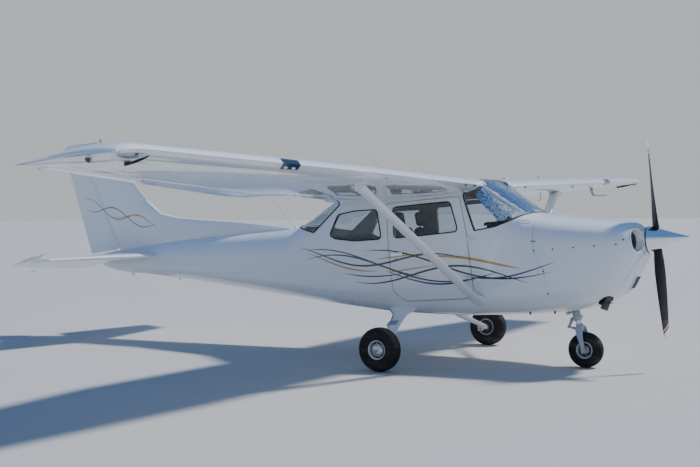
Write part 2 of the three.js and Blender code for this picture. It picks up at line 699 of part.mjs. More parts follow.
function addTailplane() {
  const g = surfaceGap;
  const matrix = new THREE.Matrix4().makeTranslation(-elevator.s, 0, elevator.w);
  const group = pivot(matrix, "elevator_axis");
  group.rotation.y = -THREE.MathUtils.degToRad(elevator.droop);
  for (const [name, side] of sides) {
    const surface = solid(loft(tailSections.map((row) => tailRing(row, side, 0))));
    const ends = (a, b) => ordered(side * a, side * b);
    const axisAt = (y) => point(elevator.s, side * y, elevator.w);
    const tube = (radius, a, b, endRadius = radius) => bar(axisAt(a), axisAt(b), radius, endRadius, 18);
    const [thick, thin] = elevator.nose;
    const nose = (grow, b) => tube(thick + grow, elevator.innerY - 50, b, thin + grow);
    const behind = block(elevator.s, 7900, ...ends(0, 1800), 0, 500);
    const horn = (clear) => block(elevator.s - 400, 7900, ...ends(elevator.hornY - clear, 1800), 0, 500);
    const fixed = cut(surface, behind, nose(g, 1640), horn(g), outerGrown);
    const rib = block(elevator.s - 70, elevator.s + 14, ...ends(elevator.tipY - 14, elevator.tipY + 3),
      elevator.w - 20, elevator.w + 14);
    const pinEnd = tube(8, elevator.tipY, elevator.hornY - seam);
    add(`stabilizer_${name}`, join(largest(fixed), rib, pinEnd), whitePaint());
    const plan = [[7100, 108], [7214, 112], [7760, 268], [7760, 1800], [7100, 1800]];
    const wedge = planPrism(plan, side, 0, 500);
    const slotEnds = ends(elevator.tipY - 21, elevator.hornY);
    const slot = block(elevator.s - 120, elevator.s + 34, ...slotEnds, 0, 500);
    const swept = cut(join(behind, nose(0, 1640)).intersect(wedge), slot);
    const moving = join(surface.intersect(join(swept, horn(0))), tube(19, 0.3, 130));
    addTo(group, matrix, `elevator_${name}`, largest(moving), whitePaint());
  }
}

// Prism of a plan outline on one side, between two heights
function planPrism(outline, side, w0, w1) {
  const rings = [w0, w1].map((w) => outline.map(([s, y]) => point(s, side * y, w)));
  return solid(loft(rings));
}

// Wings

function addWings() {
  for (const [name, side] of sides) {
    const surface = wingLoft(wingSections, side);
    const ail = aileronZones(side);
    const flp = flapZones(side);
    const noseTrim = block(1800, 2022, side * 300, side * 524, 500, 900);
    const fixed = cut(surface, ail.gap, flp.gap, noseTrim, outerGrown);
    const lugEnds = [tieDown.w, tieDown.w + 74].map((w) => point(tieDown.s, side * tieDown.y, w));
    const lug = bar(...lugEnds, 12, 12, 10);
    const body = join(largest(fixed), ...ail.pins, ...flp.pads, lug);
    add(`wing_${name}`, body, whitePaint());
    const tip = wingLoft(tipSections, side);
    add(`wing_tip_${name}`, tip, whitePaint());
    const ailGroup = pivot(ail.frame, `aileron_${name}_axis`);
    addTo(ailGroup, ail.frame, `aileron_${name}`, largest(surface.intersect(ail.body)), whitePaint());
    const flapGroup = pivot(flp.frame, `flap_${name}_axis`);
    addTo(flapGroup, flp.frame, `flap_${name}`, largest(surface.intersect(flp.body)), whitePaint());
  }
}

function aileronZones(side) {
  const ends = [aileron.inner, aileron.outer];
  const [inner, outerEnd] = ends.map(([s, y]) => point(s, side * y, wingMiddle(y, s)));
  const frame = hingeFrame(inner, outerEnd);
  const length = inner.distanceTo(outerEnd);
  const g = surfaceGap;
  const across = (y) => new THREE.Vector3(0, side * y, 0);
  const [thick, thin] = aileron.nose;
  const nose = (grow, a, b) => moved(bar(across(a), across(b), thick + grow, thin + grow, 18), frame);
  const behind = (a, b) => zone(frame, -700, 0, ...ordered(side * a, side * b), -300, 300);
  return {
    frame,
    gap: join(behind(-g, length + g), nose(g, -g, length + g)),
    body: join(behind(0, length), nose(0, 0, length)),
    pins: [
      moved(bar(across(-g - 16), across(-seam), 7, 7, 10), frame),
      moved(bar(across(length + seam), across(length + g + 20), 7, 7, 10), frame),
    ],
  };
}

// Height of the middle of the wing's section at a place behind its 40 % line
function wingMiddle(y, s) {
  const after = wingSections.findIndex((row) => row[0] >= y);
  const [low, high] = [wingSections[after - 1], wingSections[after]];
  const share = (y - low[0]) / (high[0] - low[0]);
  const [, lead, chord, height, incidence] = low.map((value, i) => value + (high[i] - value) * share);
  const x = (s - lead) / chord;
  const bow = wingCamber * ((0.2 + 0.8 * x - x * x) / 0.36);
  return height - (x - 0.25) * chord * Math.sin(THREE.MathUtils.degToRad(incidence)) + bow * chord;
}

function flapZones(side) {
  const [inner, outerEnd] = [flap.inner, flap.outer].map(([s, y]) =>
    point(s, side * y, wingMiddle(y, s) - flap.pivotDrop));
  const frame = hingeFrame(inner, outerEnd);
  const length = inner.distanceTo(outerEnd);
  const g = surfaceGap;
  const rise = flap.pivotDrop;
  const across = (y) => new THREE.Vector3(0, side * y, rise);
  const nose = (radius, a, b) => moved(bar(across(a), across(b), radius, radius, 22), frame);
  const behind = (a, b) => zone(frame, -900, 0, ...ordered(side * a, side * b), -50, 400);
  const pad = (a, b) => zone(frame, -60, 10, ...ordered(side * a, side * b), rise - 10, rise + 10);
  return {
    frame,
    gap: join(behind(-g, length + g), nose(flap.nose + g, -g, length + g)),
    body: join(behind(0, length), nose(flap.nose, 0, length)),
    pads: [pad(-g - 16, -seam), pad(length + seam, length + g + 16)],
  };
}

function addStruts() {
  for (const [name, side] of sides) {
    const foot = point(strut.foot[0], side * strut.foot[1], strut.foot[2]);
    const head = point(strut.head[0], side * strut.head[1], strut.head[2]);
    const ringAt = ([share, chord, thick, ahead]) => {
      const middle = foot.clone().lerp(head, share);
      middle.x += ahead;
      const ring = [];
      for (let i = 0; i < 16; i++) {
        const angle = (i / 16) * Math.PI * 2;
        const across = Math.cos(angle);
        const blunt = across > 0 ? 1 : 1.25;
        ring.push(middle.clone().add(new THREE.Vector3(
          across * chord * 0.5 * blunt, 0, Math.sin(angle) * thick * 0.5)));
      }
      return ring;
    };
    const body = solid(loft(strutSections.map(ringAt)));
    const clear = wingLoft(wingSections, side, seam);
    add(`strut_${name}`, largest(cut(body, outerGrown, clear)), whitePaint());
  }
}

// Landing gear

// Tyre of a wheel, turned about the y axis
function tyreGeometry({ tyreRadius, rimRadius, width }) {
  const profile = [];
  const steps = 12;
  const middle = (tyreRadius + rimRadius + seam) / 2;
  const tall = (tyreRadius - rimRadius - seam) / 2;
  for (let i = 0; i <= steps; i++) {
    const angle = (i / steps) * Math.PI * 2 - Math.PI / 2;
    const across = Math.cos(angle);
    const up = Math.sin(angle);
    const squeeze = up < 0 ? 0.82 : 1;
    profile.push(new THREE.Vector2(
      middle + Math.sign(up) * Math.abs(up) ** 0.85 * tall,
      Math.sign(across) * Math.abs(across) ** 0.8 * (width / 2) * squeeze));
  }
  profile[steps] = profile[0].clone();
  return new THREE.LatheGeometry(profile, wheelSides);
}

// Rim of a wheel with its axle bore
function rimGeometry({ rimRadius, rimWidth }, axleRadius) {
  const half = rimWidth / 2;
  const bore = axleRadius + 0.8;
  const rows = [
    [bore, half - 4], [38, half - 4], [rimRadius - 24, half - 22], [rimRadius - 12, half - 8],
    [rimRadius - 3, half], [rimRadius, half - 3], [rimRadius, -half + 3], [rimRadius - 3, -half],
    [rimRadius - 12, -half + 8], [rimRadius - 24, -half + 22], [38, -half + 4], [bore, -half + 4],
  ];
  const profile = rows.map(([r, y]) => new THREE.Vector2(r, y));
  profile.push(profile[0].clone());
  return new THREE.LatheGeometry(profile, wheelSides);
}

function addWheel(name, wheel, axleRadius, parent) {
  const tyre = solid(tyreGeometry(wheel));
  const rim = solid(rimGeometry(wheel, axleRadius));
  add(`tyre_${name}`, tyre, tyreRubber(), parent);
  add(`rim_${name}`, rim, silver(), parent);
}

function addMainGear() {
  const hub = fromFloor(mainWheel.x, mainWheel.tyreRadius);
  for (const [name, side] of sides) {
    const leg = solid(loft(legSections.map(([y, s, w, chord, thick]) => {
      const ring = [];
      for (let i = 0; i < 12; i++) {
        const angle = (i / 12) * Math.PI * 2;
        ring.push(point(s + Math.cos(angle) * chord / 2, side * y, w + Math.sin(angle) * thick / 2));
      }
      return ring;
    })));
    const onAxle = (y) => point(hub.s, side * y, hub.w);
    const axle = bar(onAxle(1150), onAxle(mainWheel.y + 54), axleRadius, axleRadius, 20);
    const cap = bar(onAxle(mainWheel.y + 52), onAxle(mainWheel.y + 58), 30, 26, 20);
    const caliper = block(hub.s + 20, hub.s + 84, side * 1166, side * 1192, hub.w - 40, hub.w + 34);
    const body = join(cut(leg, outerGrown), axle, caliper, cap);
    add(`gear_leg_${name}`, largest(body), whitePaint());
    const centre = new THREE.Matrix4().makeTranslation(-hub.s, side * mainWheel.y, hub.w);
    const group = pivot(centre, `wheel_${name}_axis`);
    addWheel(`main_${name}`, mainWheel, axleRadius, group);
  }
}

// Nose gear, built along its own raked axis with the axle at the origin

function addNoseGear() {
  const hub = fromFloor(noseWheel.x, noseWheel.tyreRadius);
  const frame = new THREE.Matrix4().makeRotationY(-noseRake).setPosition(-hub.s, 0, hub.w);
  const { tubeRadius, tubeFrom, tubeTo, pistonRadius, crown, armY } = noseGear;
  const tube = moved(bar(upward(tubeFrom), upward(tubeTo), tubeRadius, tubeRadius, 20), frame);
  const bracket = block(1222, firewall - seam, -46, 46, -640, -480);
  add("nose_gear_tube", join(tube, bracket), silver());

  const group = pivot(frame, "nose_steer_axis");
  const plate = (x0, x1, y0, y1, z0, z1) => {
    const geometry = new THREE.BoxGeometry(x1 - x0, y1 - y0, z1 - z0);
    geometry.translate((x0 + x1) / 2, (y0 + y1) / 2, (z0 + z1) / 2);
    return solid(geometry);
  };
  const piston = bar(upward(crown + 10), upward(tubeFrom - seam), pistonRadius, pistonRadius, 20);
  const crownBar = plate(-34, 34, -armY - 12, armY + 12, crown, crown + 34);
  const armSections = [[-26, 30, 12], [crown * 0.5, 34, 12], [crown + 20, 60, 14]];
  const corners = [[-1, -1], [1, -1], [1, 1], [-1, 1]];
  const armRing = ([z, wide, thick], side) =>
    corners.map(([a, b]) => new THREE.Vector3((a * wide) / 2, side * armY + (b * thick) / 2, z));
  const arms = [1, -1].map((side) => solid(loft(armSections.map((row) => armRing(row, side)))));
  const axleEnds = [-1, 1].map((side) => new THREE.Vector3(0, side * (armY + 10), 0));
  const axle = bar(...axleEnds, noseAxleRadius, noseAxleRadius, 20);
  const collar = cut(bar(upward(tubeFrom + 20), upward(tubeFrom + 52), tubeRadius + 16, tubeRadius + 16, 24),
    bar(upward(tubeFrom), upward(tubeFrom + 80), tubeRadius + 1.5, tubeRadius + 1.5, 24));
  const link = (from, to) => bar(from, to, 13, 10, 8);
  const knee = new THREE.Vector3(-112, 0, 262);
  const links = [
    link(new THREE.Vector3(-tubeRadius - 18, 0, tubeFrom + 36), knee),
    link(new THREE.Vector3(-26, 0, crown + 14), knee),
  ];
  add("nose_fork", join(piston, crownBar, ...arms, axle, collar, ...links), silver(), group);
  const spin = new THREE.Group();
  spin.name = "nose_wheel_axis";
  group.add(spin);
  addWheel("nose", noseWheel, noseAxleRadius, spin);
}

// Propeller

function addPropeller() {
  const spin = new THREE.Group();
  spin.name = "propeller_axis";
  spin.position.set(-propStation, 0, 0);
  spin.rotation.x = THREE.MathUtils.degToRad(propLean);
  airframe.add(spin);
  const bladeRing = ([radius, chord, thick, angle], side, grow) => {
    const turn = THREE.MathUtils.degToRad(angle);
    const ring = [];
    for (let i = 0; i < 12; i++) {
      const t = (i / 12) * Math.PI * 2;
      const along = Math.cos(t) * (chord / 2 + grow);
      const across = Math.sin(t) * (thick / 2 + grow) * (1 - 0.25 * Math.cos(t));
      ring.push(new THREE.Vector3(
        along * Math.sin(turn) + across * Math.cos(turn),
        side * (-along * Math.cos(turn) + across * Math.sin(turn)),
        side * radius));
    }
    return ring;
  };
  const blade = (side, grow = 0) => solid(loft(bladeSections.map((row) => bladeRing(row, side, grow))));
  const hub = (grow) => {
    const from = new THREE.Vector3(-42 - grow, 0, 0);
    const to = new THREE.Vector3(44 + grow, 0, 0);
    return bar(from, to, 70 + grow, 70 + grow, 20);
  };
  add("propeller", join(blade(1), blade(-1), hub(0)), blackSatin(), spin);
  const profile = spinnerProfile.map(([s, r]) => new THREE.Vector2(r, propStation - s));
  profile.push(new THREE.Vector2(0, propStation - spinnerBase));
  const lathe = new THREE.LatheGeometry(profile, wheelSides);
  lathe.rotateZ(-Math.PI / 2);
  add("spinner", largest(cut(solid(lathe), blade(1, seam), blade(-1, seam), hub(seam))), chrome(), spin);
}

// Antennas and lamps

function addAntennas() {
  for (const [name, side] of sides) {
    const y = side * 470;
    const clear = join(wingLoft(wingSections, side, seam), outerGrown);
    const mast = join(bar(point(2858, y, 735), point(2880, y, 812), 18, 8, 10),
      bar(point(2866, y, 800), point(3265, y, 1150), 4.5, 2.5, 8));
    add(`antenna_${name}`, largest(cut(mast, clear)), blackSatin());
  }
  const tailMast = join(bar(point(4520, 0, 400), point(4530, 0, 440), 16, 7, 10),
    bar(point(4524, 0, 432), point(4830, 0, 774), 4.5, 2.5, 8));
  add("antenna_tail", largest(cut(tailMast, outerGrown)), blackSatin());
  const beaconAt = point(7490, 0, 1750);
  const beacon = bar(beaconAt, point(7496, 0, 1806), 24, 14, 14);
  const finClear = solid(loft(finSections.map((row) => finRing(row, seam))));
  add("beacon", largest(cut(beacon, finClear)), redLens());
}

addCowl();
addEngine();
const cabin = addCabin();
addDoors(cabin);
addInterior(cabin);
addTailcone();
addFin();
addTailplane();
addWings();
addStruts();
addMainGear();
addNoseGear();
addPropeller();
addAntennas();

// Origin at the middle of the box's foot
const box = new THREE.Box3().setFromObject(aircraft, true);
airframe.position.x -= (box.min.x + box.max.x) / 2;
airframe.position.y -= (box.min.y + box.max.y) / 2;
airframe.position.z -= box.min.z;

export default aircraft;
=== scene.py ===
import bpy
import bmesh
import json
import math
from mathutils import Matrix, Vector
from mathutils import noise as noise3
from mathutils.bvhtree import BVHTree

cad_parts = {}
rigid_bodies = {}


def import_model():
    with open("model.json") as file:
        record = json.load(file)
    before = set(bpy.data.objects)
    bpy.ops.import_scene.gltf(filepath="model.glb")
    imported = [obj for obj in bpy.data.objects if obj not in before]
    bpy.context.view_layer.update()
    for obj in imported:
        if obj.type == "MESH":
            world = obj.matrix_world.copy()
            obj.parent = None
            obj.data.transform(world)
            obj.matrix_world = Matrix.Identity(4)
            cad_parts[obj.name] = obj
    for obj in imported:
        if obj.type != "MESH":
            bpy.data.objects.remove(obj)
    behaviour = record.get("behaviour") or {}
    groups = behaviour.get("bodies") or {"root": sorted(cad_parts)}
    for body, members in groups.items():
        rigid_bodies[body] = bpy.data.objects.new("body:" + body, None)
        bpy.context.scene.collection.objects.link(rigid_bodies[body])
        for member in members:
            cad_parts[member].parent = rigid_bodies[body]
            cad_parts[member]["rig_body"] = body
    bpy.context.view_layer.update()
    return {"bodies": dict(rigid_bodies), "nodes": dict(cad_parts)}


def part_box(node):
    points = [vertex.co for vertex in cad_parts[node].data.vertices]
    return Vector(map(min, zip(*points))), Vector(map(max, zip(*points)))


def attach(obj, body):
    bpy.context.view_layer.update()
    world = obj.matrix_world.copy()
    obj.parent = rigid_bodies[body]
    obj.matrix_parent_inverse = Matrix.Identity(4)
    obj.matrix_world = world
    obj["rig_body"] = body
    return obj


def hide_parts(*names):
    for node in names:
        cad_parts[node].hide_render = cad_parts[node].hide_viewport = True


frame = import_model()
bodies = frame["bodies"]
nodes = frame["nodes"]
print("frame loaded")

# Airframe axes: station aft from the spinner's tip, y to port, height over the thrust line, all in mm
airframe = {"nose": (4.1383775, 0, 1.3198149), "pitch": math.radians(4.5)}
toFrame = Matrix.Translation(airframe["nose"]) @ Matrix.Rotation(-airframe["pitch"], 4, "Y")
toAir = toFrame.inverted()


def at(station, y, height):
    return toFrame @ Vector((-station / 1000, y / 1000, height / 1000))


def along(station, y, height):
    return toFrame.to_3x3() @ Vector((-station, y, height))


# Camera of the photograph

camera = {"place": (7.03239, -10.93885, 1.58613), "yaw": 2.120275, "pitch": 0.020215, "roll": -0.004563,
          "lens": 58.416}


def makeCamera(s):
    ahead = Vector((math.cos(s["pitch"]) * math.cos(s["yaw"]), math.cos(s["pitch"]) * math.sin(s["yaw"]),
                    -math.sin(s["pitch"])))
    right = ahead.cross(Vector((0, 0, 1))).normalized()
    up = right.cross(ahead)
    tiltedRight = right * math.cos(s["roll"]) + up * math.sin(s["roll"])
    tiltedUp = up * math.cos(s["roll"]) - right * math.sin(s["roll"])
    turn = Matrix((tiltedRight, tiltedUp, -ahead)).transposed()
    data = bpy.data.cameras.new("camera")
    data.sensor_width = 36
    data.lens = s["lens"]
    data.clip_end = 200
    made = bpy.data.objects.new("camera", data)
    made.matrix_world = Matrix.Translation(s["place"]) @ turn.to_4x4()
    bpy.context.scene.collection.objects.link(made)
    bpy.context.scene.camera = made


makeCamera(camera)
print("camera placed")


# Node helpers

def addNode(tree, kind, inputs=None, **settings):
    made = tree.nodes.new(kind)
    for key, value in settings.items():
        setattr(made, key, value)
    for key, value in (inputs or {}).items():
        if isinstance(value, bpy.types.NodeSocket):
            tree.links.new(value, made.inputs[key])
        else:
            made.inputs[key].default_value = value
    return made


def calc(tree, operation, *values, clamp=False):
    inputs = dict(enumerate(values))
    return addNode(tree, "ShaderNodeMath", inputs, operation=operation, use_clamp=clamp).outputs[0]


def step(tree, value, low, high, first=0.0, last=1.0):
    inputs = {"Value": value, "From Min": low, "From Max": high, "To Min": first, "To Max": last}
    return addNode(tree, "ShaderNodeMapRange", inputs, interpolation_type="SMOOTHSTEP").outputs["Result"]


def mixColour(tree, factor, first, second, blend="MIX"):
    made = addNode(tree, "ShaderNodeMix", data_type="RGBA", blend_type=blend)
    for key, value in ((0, factor), (6, first), (7, second)):
        if isinstance(value, bpy.types.NodeSocket):
            tree.links.new(value, made.inputs[key])
        else:
            made.inputs[key].default_value = value
    return made.outputs[2]


def noise(tree, vector, scale, detail=4.0, roughness=0.55):
    inputs = {"Vector": vector, "Scale": scale, "Detail": detail, "Roughness": roughness}
    return addNode(tree, "ShaderNodeTexNoise", inputs).outputs["Fac"]


def newGroup(name, inputs, outputs):
    tree = bpy.data.node_groups.new(name, "ShaderNodeTree")
    for label, kind, value in inputs:
        socket = tree.interface.new_socket(label, in_out="INPUT", socket_type=kind)
        if value is not None:
            socket.default_value = value
    for label, kind in outputs:
        tree.interface.new_socket(label, in_out="OUTPUT", socket_type=kind)
    return tree, tree.nodes.new("NodeGroupInput").outputs, tree.nodes.new("NodeGroupOutput").inputs


def useGroup(tree, group, inputs):
    made = addNode(tree, "ShaderNodeGroup", node_tree=group)
    for key, value in inputs.items():
        if isinstance(value, bpy.types.NodeSocket):
            tree.links.new(value, made.inputs[key])
        else:
            made.inputs[key].default_value = value
    return made.outputs


# Shared effects

def makeRibbonGroup():
    sockets = [("Station", "NodeSocketFloat", 0.0), ("Height", "NodeSocketFloat", 0.0)]
    sockets += [(label, "NodeSocketFloat", 0.0) for label in
                ("Middle", "Half Length", "Level", "Slope", "Swing", "Wavelength", "Crest", "Half Width")]
    tree, given, result = newGroup("ribbon", sockets, [("Mask", "NodeSocketFloat")])
    offset = calc(tree, "SUBTRACT", given["Station"], given["Middle"])
    share = calc(tree, "DIVIDE", offset, given["Half Length"])
    taper = calc(tree, "SUBTRACT", 1.0, calc(tree, "MULTIPLY", share, share))
    taper = calc(tree, "POWER", calc(tree, "MAXIMUM", taper, 0.0), 0.6)
    turn = calc(tree, "MULTIPLY", calc(tree, "SUBTRACT", given["Station"], given["Crest"]), 2 * math.pi)
    wave = calc(tree, "COSINE", calc(tree, "DIVIDE", turn, given["Wavelength"]))
    line = calc(tree, "MULTIPLY_ADD", offset, given["Slope"], given["Level"])
    line = calc(tree, "MULTIPLY_ADD", wave, given["Swing"], line)
    distance = calc(tree, "ABSOLUTE", calc(tree, "SUBTRACT", given["Height"], line))
    edge = calc(tree, "MULTIPLY", given["Half Width"], taper)
    inside = calc(tree, "SUBTRACT", edge, distance)
    tree.links.new(step(tree, inside, 0.0, 0.0016), result["Mask"])
    return tree


def makeGrimeGroup():
    tree, given, result = newGroup("paintGrime", [
        ("Vector", "NodeSocketVector", None), ("Colour", "NodeSocketColor", (0.8, 0.8, 0.8, 1)),
        ("Grime", "NodeSocketColor", (0.3, 0.29, 0.27, 1)), ("Amount", "NodeSocketFloat", 0.2),
        ("Roughness", "NodeSocketFloat", 0.2), ("Scale", "NodeSocketFloat", 1.0)],
        [("Colour", "NodeSocketColor"), ("Roughness", "NodeSocketFloat"), ("Height", "NodeSocketFloat")])
    stretched = addNode(tree, "ShaderNodeMapping", {"Vector": given["Vector"], "Scale": (0.6, 1.0, 2.2)})
    broad = noise(tree, stretched.outputs["Vector"], given["Scale"], 5.0, 0.6)
    fine = noise(tree, given["Vector"], calc(tree, "MULTIPLY", given["Scale"], 22.0), 3.0)
    patches = step(tree, broad, 0.48, 0.78)
    mask = calc(tree, "MULTIPLY", calc(tree, "MULTIPLY", patches, fine), given["Amount"])
    tree.links.new(mixColour(tree, mask, given["Colour"], given["Grime"]), result["Colour"])
    rough = calc(tree, "MULTIPLY_ADD", mask, 0.5, given["Roughness"])
    rough = calc(tree, "MULTIPLY_ADD", calc(tree, "SUBTRACT", fine, 0.5), 0.06, rough)
    tree.links.new(rough, result["Roughness"])
    tree.links.new(noise(tree, given["Vector"], calc(tree, "MULTIPLY", given["Scale"], 260.0), 2.0), result["Height"])
    return tree


def makeRivetGroup():
    tree, given, result = newGroup("rivetRow", [
        ("Across", "NodeSocketFloat", 0.0), ("Along", "NodeSocketFloat", 0.0),
        ("Pitch", "NodeSocketFloat", 0.035), ("Radius", "NodeSocketFloat", 0.0035)], [("Mask", "NodeSocketFloat")])
    part = calc(tree, "FRACT", calc(tree, "DIVIDE", given["Along"], given["Pitch"]))
    offset = calc(tree, "MULTIPLY", calc(tree, "SUBTRACT", part, 0.5), given["Pitch"])
    squared = calc(tree, "MULTIPLY_ADD", given["Across"], given["Across"], calc(tree, "MULTIPLY", offset, offset))
    distance = calc(tree, "SQRT", squared)
    inside = calc(tree, "DIVIDE", distance, given["Radius"])
    tree.links.new(step(tree, inside, 0.6, 1.1, 1.0, 0.0), result["Mask"])
    return tree


ribbonGroup = makeRibbonGroup()
grimeGroup = makeGrimeGroup()
rivetGroup = makeRivetGroup()


# Materials

def newMaterial(name, **sockets):
    made = bpy.data.materials.new(name)
    made.use_nodes = True
    tree = made.node_tree
    shader = tree.nodes["Principled BSDF"]
    for key, value in sockets.items():
        shader.inputs[key.replace("_", " ")].default_value = value
    place = addNode(tree, "ShaderNodeTexCoord").outputs["Object"]
    return made, tree, shader, place


def airAxes(tree, place):
    inputs = {"Vector": place, "Location": airframe["nose"], "Rotation": (0, -airframe["pitch"], 0)}
    mapping = addNode(tree, "ShaderNodeMapping", inputs, vector_type="TEXTURE")
    split = addNode(tree, "ShaderNodeSeparateXYZ", {"Vector": mapping.outputs["Vector"]})
    return calc(tree, "MULTIPLY", split.outputs["X"], -1.0), split.outputs["Y"], split.outputs["Z"]


def finishSurface(tree, shader, place, colour, roughness, settings, heights=()):
    grime = useGroup(tree, grimeGroup, {
        "Vector": place, "Colour": colour, "Roughness": roughness, "Grime": settings["grime"],
        "Amount": settings["amount"], "Scale": settings.get("scale", 1.0)})
    tree.links.new(grime["Colour"], shader.inputs["Base Color"])
    tree.links.new(grime["Roughness"], shader.inputs["Roughness"])
    total = calc(tree, "MULTIPLY", grime["Height"], settings.get("grain", 0.00002))
    for value, depth in heights:
        total = calc(tree, "MULTIPLY_ADD", value, depth, total)
    bump = addNode(tree, "ShaderNodeBump", {"Height": total, "Strength": 1.0, "Distance": 1.0})
    tree.links.new(bump.outputs["Normal"], shader.inputs["Normal"])


paint = {"white": (0.81, 0.85, 0.89, 1), "grime": (0.30, 0.29, 0.27, 1), "amount": 0.16, "roughness": 0.19,
         "black": (0.012, 0.014, 0.02, 1), "navy": (0.015, 0.05, 0.19, 1), "gold": (0.55, 0.28, 0.05, 1)}

# Side bands: colour, middle, half length, level, slope, swing, wavelength, crest, half width, all in metres
sideBands = [
    ("navy", 3.34, 0.80, -0.020, 0.150, 0.085, 2.30, 3.78, 0.0085),
    ("navy", 2.45, 0.62, -0.215, 0.090, 0.085, 1.95, 3.45, 0.0105),
    ("navy", 1.68, 0.50, -0.190, -0.020, 0.080, 2.00, 2.80, 0.0095),
    ("navy", 3.20, 0.42, -0.150, 0.060, 0.035, 1.60, 2.45, 0.0085),
    ("gold", 3.62, 0.48, -0.003, 0.170, 0.070, 1.95, 2.45, 0.0105),
    ("gold", 2.86, 0.34, 0.010, 0.055, 0.030, 1.80, 2.45, 0.0075),
    ("gold", 2.05, 0.52, -0.098, 0.110, 0.045, 1.90, 2.30, 0.0150),
    ("gold", 2.76, 0.30, -0.128, -0.010, 0.020, 1.80, 2.30, 0.0075),
    ("black", 3.16, 1.06, 0.001, 0.105, 0.085, 1.95, 2.42, 0.0110),
    ("black", 2.96, 1.18, -0.110, 0.085, 0.120, 2.55, 3.68, 0.0105),
    ("black", 2.46, 1.02, -0.215, 0.085, 0.110, 2.25, 2.18, 0.0115),
    ("black", 2.28, 1.06, -0.115, 0.120, 0.105, 2.45, 3.05, 0.0110),
]
finBands = [
    ("gold", 7.22, 0.66, 0.800, 0.330, 0.075, 0.86, 6.86, 0.0095),
    ("grey", 7.20, 0.62, 0.790, 0.300, -0.070, 0.86, 6.86, 0.0090),
    ("gold", 7.05, 0.48, 0.745, 0.280, 0.052, 0.86, 6.90, 0.0045),
]
bandColours = {"navy": paint["navy"], "gold": paint["gold"], "black": paint["black"], "grey": (0.16, 0.17, 0.19, 1)}


def addBands(tree, colour, station, height, bands):
    for name, middle, half, level, slope, swing, wavelength, crest, width in bands:
        mask = useGroup(tree, ribbonGroup, {
            "Station": station, "Height": height, "Middle": middle, "Half Length": half, "Level": level,
            "Slope": slope, "Swing": swing, "Wavelength": wavelength, "Crest": crest, "Half Width": width})["Mask"]
        colour = mixColour(tree, mask, colour, bandColours[name])
    return colour


def seamAt(tree, value, place, half=0.0012):
    distance = calc(tree, "ABSOLUTE", calc(tree, "SUBTRACT", value, place))
    return step(tree, distance, half * 0.5, half * 1.6, 1.0, 0.0)


def rivetsAt(tree, value, place, run, pitch=0.032, radius=0.0032):
    across = calc(tree, "SUBTRACT", value, place)
    return useGroup(tree, rivetGroup, {"Across": across, "Along": run, "Pitch": pitch, "Radius": radius})["Mask"]


def greatest(tree, values):
    total = values[0]
    for value in values[1:]:
        total = calc(tree, "MAXIMUM", total, value)
    return total


def makePaint(name, bands=(), seams=(), rivets=()):
    made, tree, shader, place = newMaterial(name, Coat_Weight=1.0, Coat_Roughness=0.03, IOR=1.5)
    axes = dict(zip("syw", airAxes(tree, place)))
    colour = addBands(tree, paint["white"], axes["s"], axes["w"], bands) if bands else paint["white"]
    heights = []
    if seams:
        lines = greatest(tree, [seamAt(tree, axes[axis], value) for axis, value in seams])
        colour = mixColour(tree, calc(tree, "MULTIPLY", lines, 0.16), colour, (0.12, 0.12, 0.13, 1))
        heights.append((lines, -0.0003))
    if rivets:
        dots = greatest(tree, [rivetsAt(tree, axes[axis], value, axes[run]) for axis, value, run in rivets])
        heights.append((dots, 0.0003))
    finishSurface(tree, shader, place, colour, paint["roughness"], paint, heights)
    return made


def repeatedRivets(tree, across, spacing, run, shift=0.0):
    part = calc(tree, "FRACT", calc(tree, "DIVIDE", calc(tree, "ADD", across, shift), spacing))
    offset = calc(tree, "MULTIPLY", calc(tree, "SUBTRACT", part, 0.5), spacing)
    return useGroup(tree, rivetGroup, {"Across": offset, "Along": run, "Pitch": 0.034, "Radius": 0.0034})["Mask"]


def makeWingPaint():
    made, tree, shader, place = newMaterial("wingPaint", Coat_Weight=1.0, Coat_Roughness=0.03, IOR=1.5)
    station, y, _ = airAxes(tree, place)
    span = calc(tree, "ABSOLUTE", y)
    spars = [rivetsAt(tree, station, value, span) for value in (2.02, 2.37, 2.395, 2.72, 3.02, 3.045)]
    ribs = repeatedRivets(tree, span, 0.38, station)
    lines = greatest(tree, [seamAt(tree, span, value) for value in (1.42, 2.56, 3.7, 4.84)]
                     + [seamAt(tree, station, 2.383)])
    colour = mixColour(tree, calc(tree, "MULTIPLY", lines, 0.5), paint["white"], (0.12, 0.12, 0.13, 1))
    dots = greatest(tree, spars + [ribs])
    colour = mixColour(tree, calc(tree, "MULTIPLY", dots, 0.25), colour, (0.35, 0.35, 0.36, 1))
    finishSurface(tree, shader, place, colour, paint["roughness"], paint, [(dots, 0.0006), (lines, -0.0008)])
    return made


def makeBeadedPaint():
    made, tree, shader, place = newMaterial("beadedPaint", Coat_Weight=1.0, Coat_Roughness=0.03, IOR=1.5)
    _, y, _ = airAxes(tree, place)
    wave = calc(tree, "SINE", calc(tree, "MULTIPLY", y, 2 * math.pi / 0.078))
    beads = step(tree, wave, 0.1, 1.0)
    finishSurface(tree, shader, place, paint["white"], paint["roughness"], paint, [(beads, 0.0022)])
    return made


def makePlain(name, colour, roughness, metallic=0.0, grime=(0.1, 0.1, 0.1, 1), amount=0.3, grain=0.00008, scale=3.0,
              **sockets):
    made, tree, shader, place = newMaterial(name, Metallic=metallic, **sockets)
    settings = {"grime": grime, "amount": amount, "grain": grain, "scale": scale}
    finishSurface(tree, shader, place, colour, roughness, settings)
    return made


